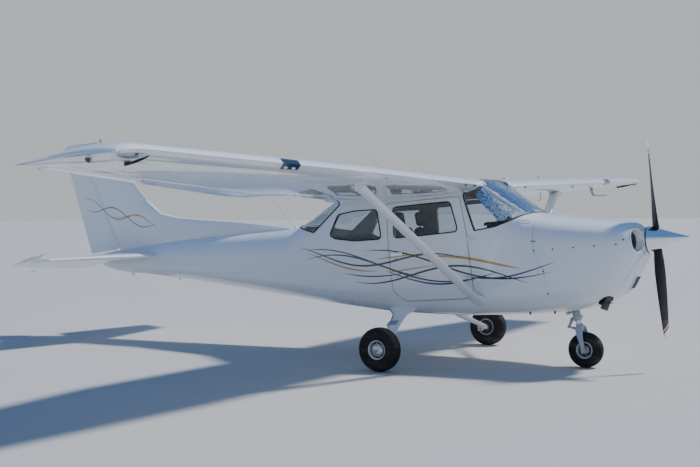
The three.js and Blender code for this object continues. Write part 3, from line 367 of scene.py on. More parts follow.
def makeGlass(name, colour):
    made, tree, shader, place = newMaterial(name, Metallic=0.0, Transmission_Weight=1.0, IOR=1.3)
    dust = step(tree, noise(tree, place, 7.0, 5.0), 0.5, 0.8)
    tree.links.new(mixColour(tree, calc(tree, "MULTIPLY", dust, 0.12), colour, (0.5, 0.5, 0.48, 1)),
                   shader.inputs["Base Color"])
    tree.links.new(calc(tree, "MULTIPLY_ADD", dust, 0.03, 0.012), shader.inputs["Roughness"])
    bump = addNode(tree, "ShaderNodeBump", {"Height": noise(tree, place, 2.2, 2.0), "Distance": 0.002, "Strength": 0.4})
    tree.links.new(bump.outputs["Normal"], shader.inputs["Normal"])
    return made


def makeCloth(name, colour, dark):
    made, tree, shader, place = newMaterial(name, Sheen_Weight=0.35, Sheen_Roughness=0.5)
    weave = [addNode(tree, "ShaderNodeTexWave", {"Vector": place, "Scale": 190.0, "Distortion": 0.6},
                     bands_direction=axis).outputs["Fac"] for axis in ("X", "Z")]
    threads = calc(tree, "MULTIPLY", *weave)
    blotch = step(tree, noise(tree, place, 9.0, 5.0), 0.4, 0.75)
    colour = mixColour(tree, calc(tree, "MULTIPLY", blotch, 0.5), colour, dark)
    colour = mixColour(tree, calc(tree, "MULTIPLY", threads, 0.35), colour, dark)
    tree.links.new(colour, shader.inputs["Base Color"])
    tree.links.new(calc(tree, "MULTIPLY_ADD", threads, 0.12, 0.78), shader.inputs["Roughness"])
    bump = addNode(tree, "ShaderNodeBump", {"Height": threads, "Distance": 0.0012, "Strength": 0.8})
    tree.links.new(bump.outputs["Normal"], shader.inputs["Normal"])
    return made


def makeFoil():
    made, tree, shader, place = newMaterial("foilShade")
    station, y, _ = airAxes(tree, place)
    line = calc(tree, "ADD", calc(tree, "MULTIPLY_ADD", calc(tree, "SUBTRACT", station, 1.56), 0.12, 0.30), y)
    wander = calc(tree, "MULTIPLY_ADD", noise(tree, place, 14.0, 3.0), 0.016, -0.008)
    line = calc(tree, "ADD", line, wander)
    ridges = addNode(tree, "ShaderNodeTexVoronoi", {"Vector": place, "Scale": 34.0}, feature="DISTANCE_TO_EDGE")
    folds = step(tree, ridges.outputs["Distance"], 0.0, 0.32)
    fine = noise(tree, place, 95.0, 4.0, 0.7)
    flecks = noise(tree, place, 58.0, 6.0, 0.8)
    broad = noise(tree, place, 5.0, 3.0)
    # Blue base tones of the foil: painted reflection of the sky in the silver foil.
    colour = mixColour(tree, step(tree, broad, 0.40, 0.70), (0.10, 0.24, 0.52, 1), (0.40, 0.53, 0.72, 1))
    # Pale band along the fold at the windshield's corner: painted highlight.
    band = calc(tree, "MULTIPLY", step(tree, line, -0.014, -0.006), step(tree, line, 0.046, 0.062, 1.0, 0.0))
    # Bright flecks, denser on the starboard panel and along a streak on the port panel: painted glints of sun and sky
    # on the crinkled foil.
    starboard = calc(tree, "MULTIPLY", step(tree, line, -0.03, -0.02, 1.0, 0.0), step(tree, station, 1.70, 1.90, 1.0, 0.35))
    streakAt = calc(tree, "MULTIPLY_ADD", calc(tree, "SUBTRACT", 1.96, station), 0.5, 0.10)
    away = calc(tree, "ABSOLUTE", calc(tree, "SUBTRACT", y, streakAt))
    paintedStreak = step(tree, away, 0.015, 0.085, 0.85, 0.10)
    port = calc(tree, "MULTIPLY", step(tree, line, 0.04, 0.07), paintedStreak)
    share = calc(tree, "MAXIMUM", calc(tree, "MAXIMUM", starboard, port), 0.12)
    paintedGlints = step(tree, calc(tree, "MULTIPLY_ADD", share, 0.17, flecks), 0.58, 0.65)
    colour = mixColour(tree, paintedGlints, colour, (0.93, 0.95, 0.96, 1))
    # Dark flecks between the glints: painted shade in the crinkles.
    dim = step(tree, calc(tree, "MULTIPLY_ADD", starboard, 0.10, calc(tree, "SUBTRACT", 1.0, flecks)), 0.66, 0.74)
    colour = mixColour(tree, calc(tree, "MULTIPLY", dim, 0.75), colour, (0.05, 0.08, 0.15, 1))
    # Colour of the painted highlight band.
    tone = mixColour(tree, step(tree, fine, 0.40, 0.62), (0.82, 0.85, 0.88, 1), (0.97, 0.97, 0.96, 1))
    colour = mixColour(tree, band, colour, tone)
    # Dark line beside the fold: painted shade in the crease.
    paintedCrease = seamAt(tree, line, -0.021, 0.0055)
    colour = mixColour(tree, calc(tree, "MULTIPLY", paintedCrease, 0.85), colour, (0.04, 0.045, 0.06, 1))
    tree.links.new(colour, shader.inputs["Base Color"])
    silver = calc(tree, "MULTIPLY", calc(tree, "SUBTRACT", 1.0, band), calc(tree, "MULTIPLY_ADD", paintedGlints, -0.7, 0.8))
    tree.links.new(silver, shader.inputs["Metallic"])
    tree.links.new(calc(tree, "MULTIPLY_ADD", fine, 0.25, 0.10), shader.inputs["Roughness"])
    height = calc(tree, "MULTIPLY_ADD", folds, 0.0032, calc(tree, "MULTIPLY", flecks, 0.0030))
    bump = addNode(tree, "ShaderNodeBump", {"Height": height, "Strength": 1.0, "Distance": 1.0})
    tree.links.new(bump.outputs["Normal"], shader.inputs["Normal"])
    return made


def makePropTip():
    made, tree, shader, place = newMaterial("propTip", Coat_Weight=0.15)
    radial = tuple(Matrix(rotorPlace().to_3x3()).col[2])
    chordwise = tuple(Matrix(rotorPlace().to_3x3()).col[1])
    mapping = addNode(tree, "ShaderNodeMapping", {"Vector": place, "Location": tuple(-Vector(rotor["pos"]))})
    spot = mapping.outputs["Vector"]
    length, across = (addNode(tree, "ShaderNodeVectorMath", {0: spot, 1: aim}, operation="DOT_PRODUCT").outputs["Value"]
                      for aim in (radial, chordwise))
    side = calc(tree, "SIGN", length)
    slanted = calc(tree, "MULTIPLY_ADD", calc(tree, "MULTIPLY", across, side), rotor["slant"],
                   calc(tree, "ABSOLUTE", length))
    white = step(tree, slanted, 0.860, 0.862)
    red = calc(tree, "MULTIPLY", step(tree, slanted, 0.870, 0.872), step(tree, slanted, 0.898, 0.900, 1.0, 0.0))
    black = calc(tree, "MULTIPLY", step(tree, slanted, 0.882, 0.883), step(tree, slanted, 0.887, 0.888, 1.0, 0.0))
    colour = mixColour(tree, white, (0.008, 0.011, 0.018, 1), (0.8, 0.8, 0.8, 1))
    colour = mixColour(tree, red, colour, (0.40, 0.012, 0.05, 1))
    colour = mixColour(tree, black, colour, (0.02, 0.02, 0.03, 1))
    settings = {"grime": (0.16, 0.15, 0.14, 1), "amount": 0.4, "grain": 0.00006, "scale": 5.0}
    finishSurface(tree, shader, place, colour, 0.42, settings)
    return made


def makeTyre():
    made, tree, shader, place = newMaterial("tyreRubber", Specular_IOR_Level=0.35)
    settings = {"grime": (0.17, 0.155, 0.135, 1), "amount": 0.8, "grain": 0.0002, "scale": 6.0}
    finishSurface(tree, shader, place, (0.012, 0.012, 0.013, 1), 0.78, settings)
    return made


sideSeams = [("s", 4.392), ("s", 5.02), ("s", 5.66), ("s", 6.28), ("s", 6.86)]
sideRivets = [("s", 1.436, "w"), ("s", 1.398, "w"), ("s", 4.41, "w"), ("s", 4.374, "w"), ("s", 5.038, "w"),
              ("s", 5.678, "w"), ("s", 6.298, "w"), ("w", -0.50, "s"), ("w", 0.36, "s")]
bodyPaint = makePaint("bodyPaint", sideBands, sideSeams, sideRivets)
cowlPaint = makePaint("cowlPaint", sideBands)
finPaint = makePaint("finPaint", finBands, (), [("w", 0.975, "s"), ("w", 1.335, "s"), ("w", 0.66, "s")])
plainPaint = makePaint("plainPaint")
wingPaint = makeWingPaint()
beadedPaint = makeBeadedPaint()
lining = makePlain("cabinLining", (0.80, 0.77, 0.71, 1), 0.8, amount=0.4, grain=0.0004)
glass = makeGlass("windowGlass", (0.66, 0.72, 0.74, 1))
clearGlass = makeGlass("windshieldGlass", (0.88, 0.92, 0.94, 1))
lensClear = makeGlass("clearLens", (0.92, 0.95, 0.97, 1))
lensRed = makeGlass("redLens", (0.85, 0.42, 0.40, 1))
bulbRed = makePlain("bulbRed", (0.12, 0.008, 0.010, 1), 0.12, 0.0, (0.02, 0.01, 0.01, 1), 0.3, 0.00002, 20.0, Coat_Weight=1.0)
bulbGreen = makePlain("bulbGreen", (0.006, 0.05, 0.04, 1), 0.12, 0.0, (0.01, 0.02, 0.02, 1), 0.3, 0.00002, 20.0,
                      Coat_Weight=1.0)
lampSeat = makePlain("lampSeat", (0.36, 0.40, 0.45, 1), 0.35, 0.3, (0.08, 0.08, 0.09, 1), 0.4, 0.00005, 30.0)
# Opaque near-black blue for the landing and rear lamp lenses: painted shade of the lamp cavities behind clear glass.
lensDark = makePlain("lampGlass", (0.012, 0.022, 0.05, 1), 0.06, amount=0.1, grain=0.0, Coat_Weight=1.0)
chrome = makePlain("polishedMetal", (0.90, 0.91, 0.93, 1), 0.045, 1.0, (0.35, 0.34, 0.33, 1), 0.25, 0.000004, 4.0)
steel = makePlain("brushedSteel", (0.50, 0.49, 0.47, 1), 0.33, 1.0, (0.12, 0.10, 0.08, 1), 0.6, 0.00004, 8.0)
exhaustSteel = makePlain("exhaustSteel", (0.17, 0.14, 0.12, 1), 0.55, 0.9, (0.05, 0.035, 0.025, 1), 0.9, 0.0002, 14.0)
iron = makePlain("engineIron", (0.10, 0.10, 0.105, 1), 0.55, 0.5, (0.03, 0.025, 0.02, 1), 0.6, 0.0003, 12.0)
# The nose leg's white paint coloured as a blue-grey mid-tone: painted shade with painted sky reflection.
shadedForkPaint = makePlain("shadedForkPaint", (0.42, 0.47, 0.53, 1), 0.34, 0.0, (0.10, 0.09, 0.08, 1), 0.6, 0.00008, 9.0,
                      Coat_Weight=0.3)
rimPaint = makePlain("rimPaint", (0.72, 0.73, 0.74, 1), 0.28, 0.55, (0.10, 0.085, 0.07, 1), 0.75, 0.00008, 12.0)
# Dark blue-grey for the recessed web of the wheel rims: painted shade in the recess.
rimShade = makePlain("rimRecessShade", (0.07, 0.085, 0.11, 1), 0.5, 0.3, (0.02, 0.02, 0.02, 1), 0.6, 0.00012, 12.0)
seamGrey = makePlain("seamShadow", (0.17, 0.18, 0.20, 1), 0.6, 0.0, (0.10, 0.10, 0.10, 1), 0.4, 0.0001, 12.0)
screenMesh = makePlain("screenMesh", (0.06, 0.085, 0.12, 1), 0.5, 0.4, (0.02, 0.02, 0.03, 1), 0.6, 0.0002, 40.0)
seal = makePlain("sealRubber", (0.010, 0.010, 0.011, 1), 0.6, 0.0, (0.06, 0.06, 0.06, 1), 0.4, 0.0001, 12.0)
darkPlastic = makePlain("panelPlastic", (0.03, 0.03, 0.033, 1), 0.6, 0.0, (0.1, 0.1, 0.1, 1), 0.3, 0.0003, 9.0)
seatCloth = makeCloth("seatCloth", (0.62, 0.61, 0.58, 1), (0.36, 0.35, 0.34, 1))
capSteel = makePlain("capSteel", (0.62, 0.63, 0.65, 1), 0.2, 0.9, (0.2, 0.19, 0.18, 1), 0.5, 0.00003, 14.0)
darkSteel = makePlain("darkSteel", (0.045, 0.05, 0.06, 1), 0.45, 0.6, (0.1, 0.09, 0.08, 1), 0.5, 0.0001, 20.0)
seatTrim = makePlain("seatTrim", (0.10, 0.10, 0.105, 1), 0.6, 0.0, (0.2, 0.2, 0.2, 1), 0.4, 0.0002, 30.0)
treadGrey = makePlain("treadGrey", (0.42, 0.46, 0.50, 1), 0.75, 0.0, (0.05, 0.05, 0.05, 1), 0.6, 0.0006, 60.0)
antennaWire = makePlain("antennaWire", (0.05, 0.05, 0.055, 1), 0.5, 0.3, (0.2, 0.2, 0.2, 1), 0.4, 0.00003, 20.0)
markWhite = makePlain("markWhite", (0.8, 0.8, 0.78, 1), 0.5, 0.0, (0.5, 0.5, 0.48, 1), 0.3, 0.00005, 40.0)
screenGlass = makePlain("screenGlass", (0.01, 0.02, 0.025, 1), 0.08, 0.0, (0.05, 0.05, 0.05, 1), 0.2, 0.0, 20.0)
foil = makeFoil()
antennaBlack = makePlain("antennaWhip", (0.55, 0.57, 0.6, 1), 0.4, 0.0, (0.2, 0.2, 0.2, 1), 0.4, 0.00005, 10.0)
propPaint = makePlain("propPaint", (0.008, 0.011, 0.018, 1), 0.44, 0.0, (0.10, 0.10, 0.11, 1), 0.5, 0.00006, 5.0,
                      Specular_IOR_Level=0.25)
tyreRubber = makeTyre()
print("materials made")


# Mesh helpers

def place(name, bm, body, material, slot=None, smooth=40, replaced=(), weighted=False):
    data = bpy.data.meshes.new(name)
    for face in bm.faces:
        face.smooth = smooth is not None
    if smooth is not None:
        limit = math.radians(smooth)
        for edge in bm.edges:
            edge.smooth = len(edge.link_faces) == 2 and edge.calc_face_angle(0) < limit
    bm.to_mesh(data)
    bm.free()
    made = bpy.data.objects.new(name, data)
    bpy.context.scene.collection.objects.link(made)
    for one in (material if isinstance(material, (list, tuple)) else [material]):
        data.materials.append(one)
    if weighted:
        modifier = made.modifiers.new("weightedNormals", "WEIGHTED_NORMAL")
        modifier.keep_sharp = True
        modifier.weight = 60
    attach(made, body)
    if replaced:
        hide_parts(*replaced)
    return made


def copyOf(name):
    bm = bmesh.new()
    bm.from_mesh(nodes[name].data)
    bmesh.ops.remove_doubles(bm, verts=bm.verts, dist=0.00002)
    return bm


def joined(parts):
    total = bmesh.new()
    scratch = bpy.data.meshes.new("scratch")
    for bm in parts:
        bm.to_mesh(scratch)
        bm.free()
        total.from_mesh(scratch)
    bpy.data.meshes.remove(scratch)
    return total


def tidyShell(bm, gap=0.00001):
    bmesh.ops.remove_doubles(bm, verts=bm.verts, dist=gap)
    bmesh.ops.dissolve_degenerate(bm, edges=bm.edges, dist=gap)
    bmesh.ops.recalc_face_normals(bm, faces=bm.faces)
    return bm


def spun(rows, centre, axis, steps=48, closed=False):
    bm = bmesh.new()
    axis = Vector(axis).normalized()
    side = axis.orthogonal().normalized()
    chain = [bm.verts.new(centre + axis * (run / 1000) + side * (radius / 1000)) for run, radius in rows]
    pairs = list(zip(chain, chain[1:])) + ([(chain[-1], chain[0])] if closed else [])
    edges = [bm.edges.new(pair) for pair in pairs]
    bmesh.ops.spin(bm, geom=chain + edges, cent=centre, axis=axis, angle=2 * math.pi, steps=steps, use_merge=True)
    return tidyShell(bm)


def swept(spots, radius, closed=False, sides=3):
    curve = bpy.data.curves.new("path", "CURVE")
    curve.dimensions = "3D"
    curve.bevel_depth = radius
    curve.bevel_resolution = sides
    curve.use_fill_caps = not closed
    spline = curve.splines.new("POLY")
    spline.points.add(len(spots) - 1)
    for point, spot in zip(spline.points, spots):
        point.co = (*spot, 1)
    spline.use_cyclic_u = closed
    holder = bpy.data.objects.new("path", curve)
    mesh = bpy.data.meshes.new_from_object(holder)
    bm = bmesh.new()
    bm.from_mesh(mesh)
    bpy.data.objects.remove(holder)
    bpy.data.curves.remove(curve)
    bpy.data.meshes.remove(mesh)
    return tidyShell(bm)


def lofted(chains, closed=True, capped=True):
    bm = bmesh.new()
    last = None
    for chain in chains:
        verts = [bm.verts.new(spot) for spot in chain]
        pairs = list(zip(verts, verts[1:])) + ([(verts[-1], verts[0])] if closed else [])
        edges = [bm.edges.new(pair) for pair in pairs]
        if last:
            bmesh.ops.bridge_loops(bm, edges=last + edges)
        last = edges
    if closed and capped:
        bmesh.ops.holes_fill(bm, edges=[edge for edge in bm.edges if edge.is_boundary])
    return tidyShell(bm)


def block(size, matrix, radius=0.003, segments=2):
    bm = bmesh.new()
    bmesh.ops.create_cube(bm, size=1, matrix=matrix @ Matrix.Diagonal((*size, 1)))
    bmesh.ops.bevel(bm, geom=bm.edges, offset=min(radius, min(size) * 0.45), affect="EDGES", segments=segments,
                    profile=0.5, material=-1)
    return tidyShell(bm)


def disc(radius, height, matrix, sides=16, taper=0.8):
    bm = bmesh.new()
    bmesh.ops.create_cone(bm, segments=sides, radius1=radius, radius2=radius * taper, depth=height, cap_ends=True,
                          matrix=matrix @ Matrix.Translation((0, 0, height / 2)))
    return bm


def ball(radii, matrix, sides=24):
    bm = bmesh.new()
    bmesh.ops.create_uvsphere(bm, u_segments=sides, v_segments=sides // 2, radius=1,
                              matrix=matrix @ Matrix.Diagonal((*radii, 1)))
    return bm


def airPlace(station, y, height):
    return toFrame @ Matrix.Translation((-station / 1000, y / 1000, height / 1000))


skinTrees = {}


def hit(name, start, direction):
    if name not in skinTrees:
        bm = copyOf(name)
        skinTrees[name] = BVHTree.FromBMesh(bm)
        bm.free()
    spot, normal, _, _ = skinTrees[name].ray_cast(start, direction)
    if spot is None:
        raise ValueError("nothing of " + name + " to seat a piece on")
    return spot, normal


def seated(spot, normal, ahead=None):
    ahead = ahead or along(-1, 0, 0)
    side = normal.cross(ahead).normalized()
    turn = Matrix((side.cross(normal), side, normal)).transposed()
    return Matrix.Translation(spot) @ turn.to_4x4()


def onSide(name, station, height, side):
    return hit(name, at(station, side * 1500, height), along(0, -side, 0))


def onTop(name, station, y, up=1):
    return hit(name, at(station, y, up * 3000), along(0, 0, -up))


def skinRow(station):
    rows = fuselage["sections"]
    high = next((i for i, row in enumerate(rows) if row[0] >= station), len(rows) - 1)
    high = max(1, high)
    low = rows[high - 1]
    share = (station - low[0]) / (rows[high][0] - low[0])
    return [a + (b - a) * share for a, b in zip(low, rows[high])]


# Fuselage sections as in the source: station, half width, belt, top, bottom, roundness over and under, lean
fuselage = {"sections": [
    (402, 152, -14, 124, -150, 2.1, 2.1, 0), (418, 215, -18, 133, -170, 2.2, 2.1, 0),
    (436, 292, -20, 158, -200, 2.2, 2.2, 0), (466, 355, -20, 178, -255, 2.3, 2.2, 0),
    (520, 399, -20, 196, -338, 2.3, 2.25, 0), (572, 424, -20, 205, -424, 2.4, 2.3, 0),
    (620, 436, -20, 211, -500, 2.4, 2.4, 0), (660, 443, -20, 218, -534, 2.4, 2.6, 0),
    (820, 465, -20, 246, -608, 2.5, 2.8, 0), (1000, 483, -15, 273, -648, 2.6, 3.0, 0),
    (1304, 507, -10, 325, -668, 2.8, 3.6, 0), (1500, 520, 0, 362, -670, 2.9, 4.2, 0),
    (1620, 526, 0, 452, -668, 3.1, 4.5, 0.01), (1800, 532, 0, 585, -665, 3.8, 4.5, 0.03),
    (1930, 535, 0, 682, -664, 4.8, 4.5, 0.04), (2020, 536, 0, 746, -663, 5.8, 4.5, 0.045),
    (2140, 537, 0, 774, -660, 7, 4.5, 0.05), (2300, 537, 0, 790, -655, 8, 4.5, 0.05),
    (2800, 533, 0, 797, -615, 8, 4.5, 0.05), (3200, 520, 0, 790, -575, 8, 4.4, 0.05),
    (3480, 501, 0, 776, -534, 7, 4.2, 0.05), (3660, 484, 0, 735, -508, 5.4, 4.0, 0.05),
    (3800, 468, 0, 676, -490, 4.6, 3.8, 0.05), (4100, 430, 0, 533, -442, 3.4, 3.4, 0.02),
    (4390, 398, 0, 414, -392, 2.8, 3.1, 0), (5000, 325, 10, 408, -288, 2.5, 2.7, 0),
    (5600, 255, 30, 403, -186, 2.3, 2.5, 0), (6200, 190, 70, 396, -80, 2.2, 2.4, 0),
    (6800, 125, 120, 383, 10, 2.2, 2.3, 0), (7150, 88, 170, 360, 46, 2.2, 2.3, 0),
    (7300, 62, 200, 338, 78, 2.2, 2.3, 0), (7450, 44, 215, 328, 118, 2.2, 2.2, 0),
    (7560, 30, 235, 318, 152, 2.2, 2.2, 0), (7585, 16, 240, 300, 180, 2.2, 2.2, 0),
]}


def skinSide(station, height):
    _, half, belt, top, bottom, over, under, lean = skinRow(station)
    above = height >= belt
    rise = (height - belt) / (top - belt) if above else (belt - height) / (belt - bottom)
    round_ = over if above else under
    if rise >= 1:
        return 0.0
    sine = rise ** (round_ / 2)
    tuck = 1 - lean * rise if above else 1
    return (1 - sine * sine) ** (1 / round_) * half * tuck


def skinTop(station, y):
    _, half, belt, top, _, over, _, lean = skinRow(station)
    share = min(1.0, abs(y) / (half * (1 - lean)))
    return belt + (top - belt) * (1 - share ** over) ** (1 / over)


def skinShare(station, y, height):
    _, half, belt, top, bottom, over, under, lean = skinRow(station)
    above = height >= belt
    rise = (height - belt) / (top - belt) if above else (belt - height) / (belt - bottom)
    power = over if above else under
    tuck = 1 - lean * min(1.0, rise) if above else 1
    return (abs(rise) ** power + (abs(y) / (half * tuck)) ** power) ** (1 / power)


# The airframe's own surfaces, smoothed, with their inner walls lined

lined = {"cabin_shell": lining, "door_left": lining, "door_right": lining, "baggage_door": lining}
dressed = [
    ("cabin_shell", bodyPaint, "airframe_paint"), ("door_left", bodyPaint, "airframe_paint"),
    ("door_right", bodyPaint, "airframe_paint"), ("baggage_door", bodyPaint, "airframe_paint"),
    ("tailcone", bodyPaint, "airframe_paint"), ("cowl_upper", cowlPaint, "airframe_paint"),
    ("cowl_lower", cowlPaint, "airframe_paint"), ("fin", finPaint, "surface_paint"),
    ("rudder", finPaint, "surface_paint"), ("stabilizer_left", wingPaint, "surface_paint"),
    ("stabilizer_right", wingPaint, "surface_paint"), ("elevator_left", beadedPaint, "surface_paint"),
    ("elevator_right", beadedPaint, "surface_paint"), ("wing_left", wingPaint, "surface_paint"),
    ("wing_right", wingPaint, "surface_paint"), ("wing_tip_left", plainPaint, "surface_paint"),
    ("wing_tip_right", plainPaint, "surface_paint"), ("aileron_left", beadedPaint, "surface_paint"),
    ("aileron_right", beadedPaint, "surface_paint"), ("flap_left", beadedPaint, "surface_paint"),
    ("flap_right", beadedPaint, "surface_paint"), ("strut_left", plainPaint, "surface_paint"),
    ("strut_right", plainPaint, "surface_paint"), ("gear_leg_left", plainPaint, "gear_steel"),
    ("gear_leg_right", plainPaint, "gear_steel"),
    ("engine_block", iron, "engine_iron"),
    ("instrument_panel", darkPlastic, "panel_plastic"), ("antenna_left", antennaBlack, "antenna_black"),
    ("antenna_right", antennaBlack, "antenna_black"), ("antenna_tail", antennaBlack, "antenna_black"),
    ("windshield", clearGlass, "window_glass"), ("rear_window", glass, "window_glass"),
    ("side_window_left", glass, "window_glass"), ("side_window_right", glass, "window_glass"),
    ("door_window_left", glass, "window_glass"), ("door_window_right", glass, "window_glass"),
]


def bodyOf(name):
    return nodes[name]["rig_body"]


def dress(name, material, slot):
    bm = copyOf(name)
    materials = [material]
    if name in lined:
        materials.append(lined[name])
        for face in bm.faces:
            spot = toAir @ face.calc_center_median() * 1000
            face.material_index = 1 if skinShare(-spot.x, spot.y, spot.z) < 0.965 else 0
    made = place(name + "_finish", bm, bodyOf(name), materials, slot, 62 if name.startswith("wing_tip") else 34, [name])
    return made


for name, material, slot in dressed:
    dress(name, material, slot)
print("surfaces dressed")


# Outlines on the skin

outlines = {
    "windshield": ([(1440, 450), (1488, 360), (1540, 335), (1650, 285), (1780, 243), (2003, 219), (2107, 573),
                    (2085, 660), (2022, 745), (1980, 830), (1880, 830)], 8),
    "rear": ([(3640, 612), (4006, 342), (4140, 378), (4300, 424), (4420, 520), (4000, 780), (3730, 780),
              (3690, 690)], 12),
    "door": ([(2262, 531), (2186, 222), (2934, 206), (2930, 528)], 50),
    "side": ([(3134, 521), (3097, 207), (3440, 212), (3690, 250), (3772, 290), (3645, 508), (3400, 528)], 50),
    "leaf": ([(2150, 575), (2095, 205), (2055, -380), (2090, -464), (2860, -464), (2990, -350), (3012, 0),
              (3012, 575)], 42),
    "baggage": ([(3335, 130), (3330, -330), (3700, -300), (3715, 130)], 36),
}


def roundedOutline(corners, radius, count=6, run=24):
    points = [Vector(corner) for corner in corners]
    shaped = []
    for before, corner, after in zip(points[-1:] + points[:-1], points, points[1:] + points[:1]):
        first, last = (before - corner), (after - corner)
        turn = math.pi - first.angle(last)
        cut = min(radius * math.tan(turn / 2), first.length * 0.45, last.length * 0.45)
        start, end = corner + first.normalized() * cut, corner + last.normalized() * cut
        for i in range(count + 1):
            t = i / count
            shaped.append(start * (1 - t) ** 2 + corner * 2 * t * (1 - t) + end * t * t)
    fine = []
    for first, last in zip(shaped, shaped[1:] + shaped[:1]):
        parts = max(1, int((last - first).length / run))
        fine += [first.lerp(last, i / parts) for i in range(parts)]
    return fine


def sideLoop(name, side, grow=0.0, lift=1.0):
    corners, radius = outlines[name]
    middle = sum((Vector(corner) for corner in corners), Vector((0, 0))) / len(corners)
    loop = []
    for spot in roundedOutline(corners, radius):
        away = (spot - middle).normalized() * grow
        station, height = spot.x + away.x, spot.y + away.y
        loop.append(at(station, side * (skinSide(station, height) + lift), height))
    return loop


def crownLoop(name, grow=0.0, lift=1.0, crossed=True, ceiling=2000):
    corners, radius = outlines[name]
    middle = sum((Vector(corner) for corner in corners), Vector((0, 0))) / len(corners)
    fine = roundedOutline(corners, radius, 4, 5)
    fine = [spot + (spot - middle).normalized() * grow for spot in fine]
    below = [spot.y < min(skinRow(spot.x)[3], ceiling) for spot in fine]
    start = next(i for i, inside in enumerate(below) if inside and not below[i - 1])
    run = []
    for i in range(len(fine)):
        spot = fine[(start + i) % len(fine)]
        if spot.y >= min(skinRow(spot.x)[3], ceiling):
            break
        run.append(spot)
    starboard = [at(spot.x, -skinSide(spot.x, spot.y) - lift, spot.y) for spot in run]
    port = [at(spot.x, skinSide(spot.x, spot.y) + lift, spot.y) for spot in reversed(run)]
    return starboard + port if crossed else list(reversed(starboard)) + list(reversed(port))


def makeSeals():
    place("windshield_seal", swept(crownLoop("windshield", 3, crossed=False, ceiling=628), 0.0065), "airframe", seal)
    place("rear_seal", swept(crownLoop("rear", 3), 0.0075, closed=True), "airframe", seal)
    for side, label in ((1, "left"), (-1, "right")):
        place("side_seal_" + label, swept(sideLoop("side", side, 3), 0.0065, closed=True), "airframe", seal)
        place("door_seal_" + label, swept(sideLoop("door", side, 3), 0.0065, closed=True), "door_" + label, seal)


makeSeals()
print("window seals made")


# Wheels

mainWheel = {"radius": 217.8, "half": 78.5, "bead": 92, "seat": 54, "bore": 17}
frontWheel = {"radius": 177.8, "half": 61.5, "bead": 81, "seat": 42, "bore": 14}
tyreRows = [(0, 1.0), (0.125, 0.999), (0.13, 0.968), (0.19, 0.968), (0.195, 0.997), (0.41, 0.985), (0.415, 0.955),
            (0.475, 0.952), (0.48, 0.976), (0.66, 0.93), (0.79, 0.84), (0.885, 0.72), (0.94, 0.62), (0.962, 0.60),
            (0.965, 0.575), (0.96, 0.56), (1.0, 0.44), (0.99, 0.30), (0.94, 0.18), (0.945, 0.15), (0.90, 0.10),
            (0.80, 0.02), (0.72, 0.0)]


def makeTyreShape(s, centre, axis):
    tall = s["radius"] - s["bead"]
    half = [(run * s["half"], s["bead"] + rise * tall) for run, rise in tyreRows]
    rows = [(-run, radius) for run, radius in reversed(half[1:])] + half
    return spun(rows, centre, axis, 84, closed=True)


def makeRimShape(s, centre, axis):
    seat, bead = s["seat"], s["bead"]
    half = [(0, bead + 0.4), (seat - 2, bead + 0.4), (seat + 3, bead + 4), (seat + 8, bead + 5.5),
            (seat + 12, bead + 3), (seat + 12, bead - 2), (seat + 8, bead - 6), (seat, bead - 9),
            (seat - 18, bead - 12), (seat - 30, bead - 19), (seat - 34, bead - 30), (seat - 29, bead - 39),
            (seat - 10, bead - 43), (seat - 7, bead - 46), (seat - 5, s["bore"] + 8), (seat - 8, s["bore"])]
    rows = [(-run, radius) for run, radius in reversed(half[1:])] + half
    bm = spun(rows, centre, axis, 64, closed=True)
    for face in bm.faces:
        away = face.calc_center_median() - centre
        radius = Vector((away.x, 0, away.z)).length * 1000
        # Faces of the recessed web take the painted shade colour.
        face.material_index = 1 if bead - 38 < radius < bead - 12.5 else 0
    return bm


def around(centre, axis, radius, run, count, phase=0.0):
    axis = Vector(axis).normalized()
    first = axis.orthogonal().normalized()
    second = axis.cross(first)
    for i in range(count):
        turn = phase + 2 * math.pi * i / count
        away = first * math.cos(turn) + second * math.sin(turn)
        yield seated(centre + axis * (run / 1000) + away * (radius / 1000), axis, away)


def boltHeads(centre, axis, radius, run, count, size, phase=0.0):
    parts = []
    for spot in around(centre, axis, radius, run, count, phase):
        parts.append(disc(size * 1.35, size * 0.3, spot, 16, 0.95))
        parts.append(disc(size, size * 1.1, spot, 6, 0.96))
        parts.append(disc(size * 0.45, size * 1.7, spot, 10, 0.85))
    return parts


def makeMainWheels():
    for label, side in (("left", 1), ("right", -1)):
        low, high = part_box("tyre_main_" + label)
        centre = (Vector(low) + Vector(high)) / 2
        axis = Vector((0, side, 0))
        body = "wheel_main_" + label
        s = mainWheel
        place("tyre_" + label, makeTyreShape(s, centre, axis), body, tyreRubber, "tyre_rubber", 32,
              ["tyre_main_" + label])
        place("rim_" + label, makeRimShape(s, centre, axis), body, [rimPaint, rimShade], "rim_metal", 32,
              ["rim_main_" + label])
        cap = [(40, 0), (40, 55), (47, 56), (50, 54), (56, 49), (61, 39), (63.5, 22), (64, 0)]
        place("hub_cap_" + label, spun(cap, centre, axis, 64), body, capSteel, smooth=30)
        ring = [(46, 57), (49, 60), (46, 63), (40, 62), (40, 57)]
        place("hub_ring_" + label, spun(ring, centre, axis, 64, closed=True), body, rimPaint)
        # Dark disc on the hub cap: painted shade of the valve hole.
        hole = list(around(centre, axis, 36, 58.6, 1, 2.3))[0]
        place("valve_hole_" + label, disc(0.006, 0.0022, hole, 16, 0.9), body, seal)
        bolts = boltHeads(centre, axis, 70, 22, 6, 0.0065)
        place("rim_bolts_" + label, joined(bolts), body, steel)
        rotor = [(-64, 76), (-64, 50), (-58, 46), (-34, 44), (-34, 38), (-72, 38), (-72, 76)]
        place("brake_disc_" + label, spun(rotor, centre, axis, 64, closed=True), body, darkSteel, smooth=30)


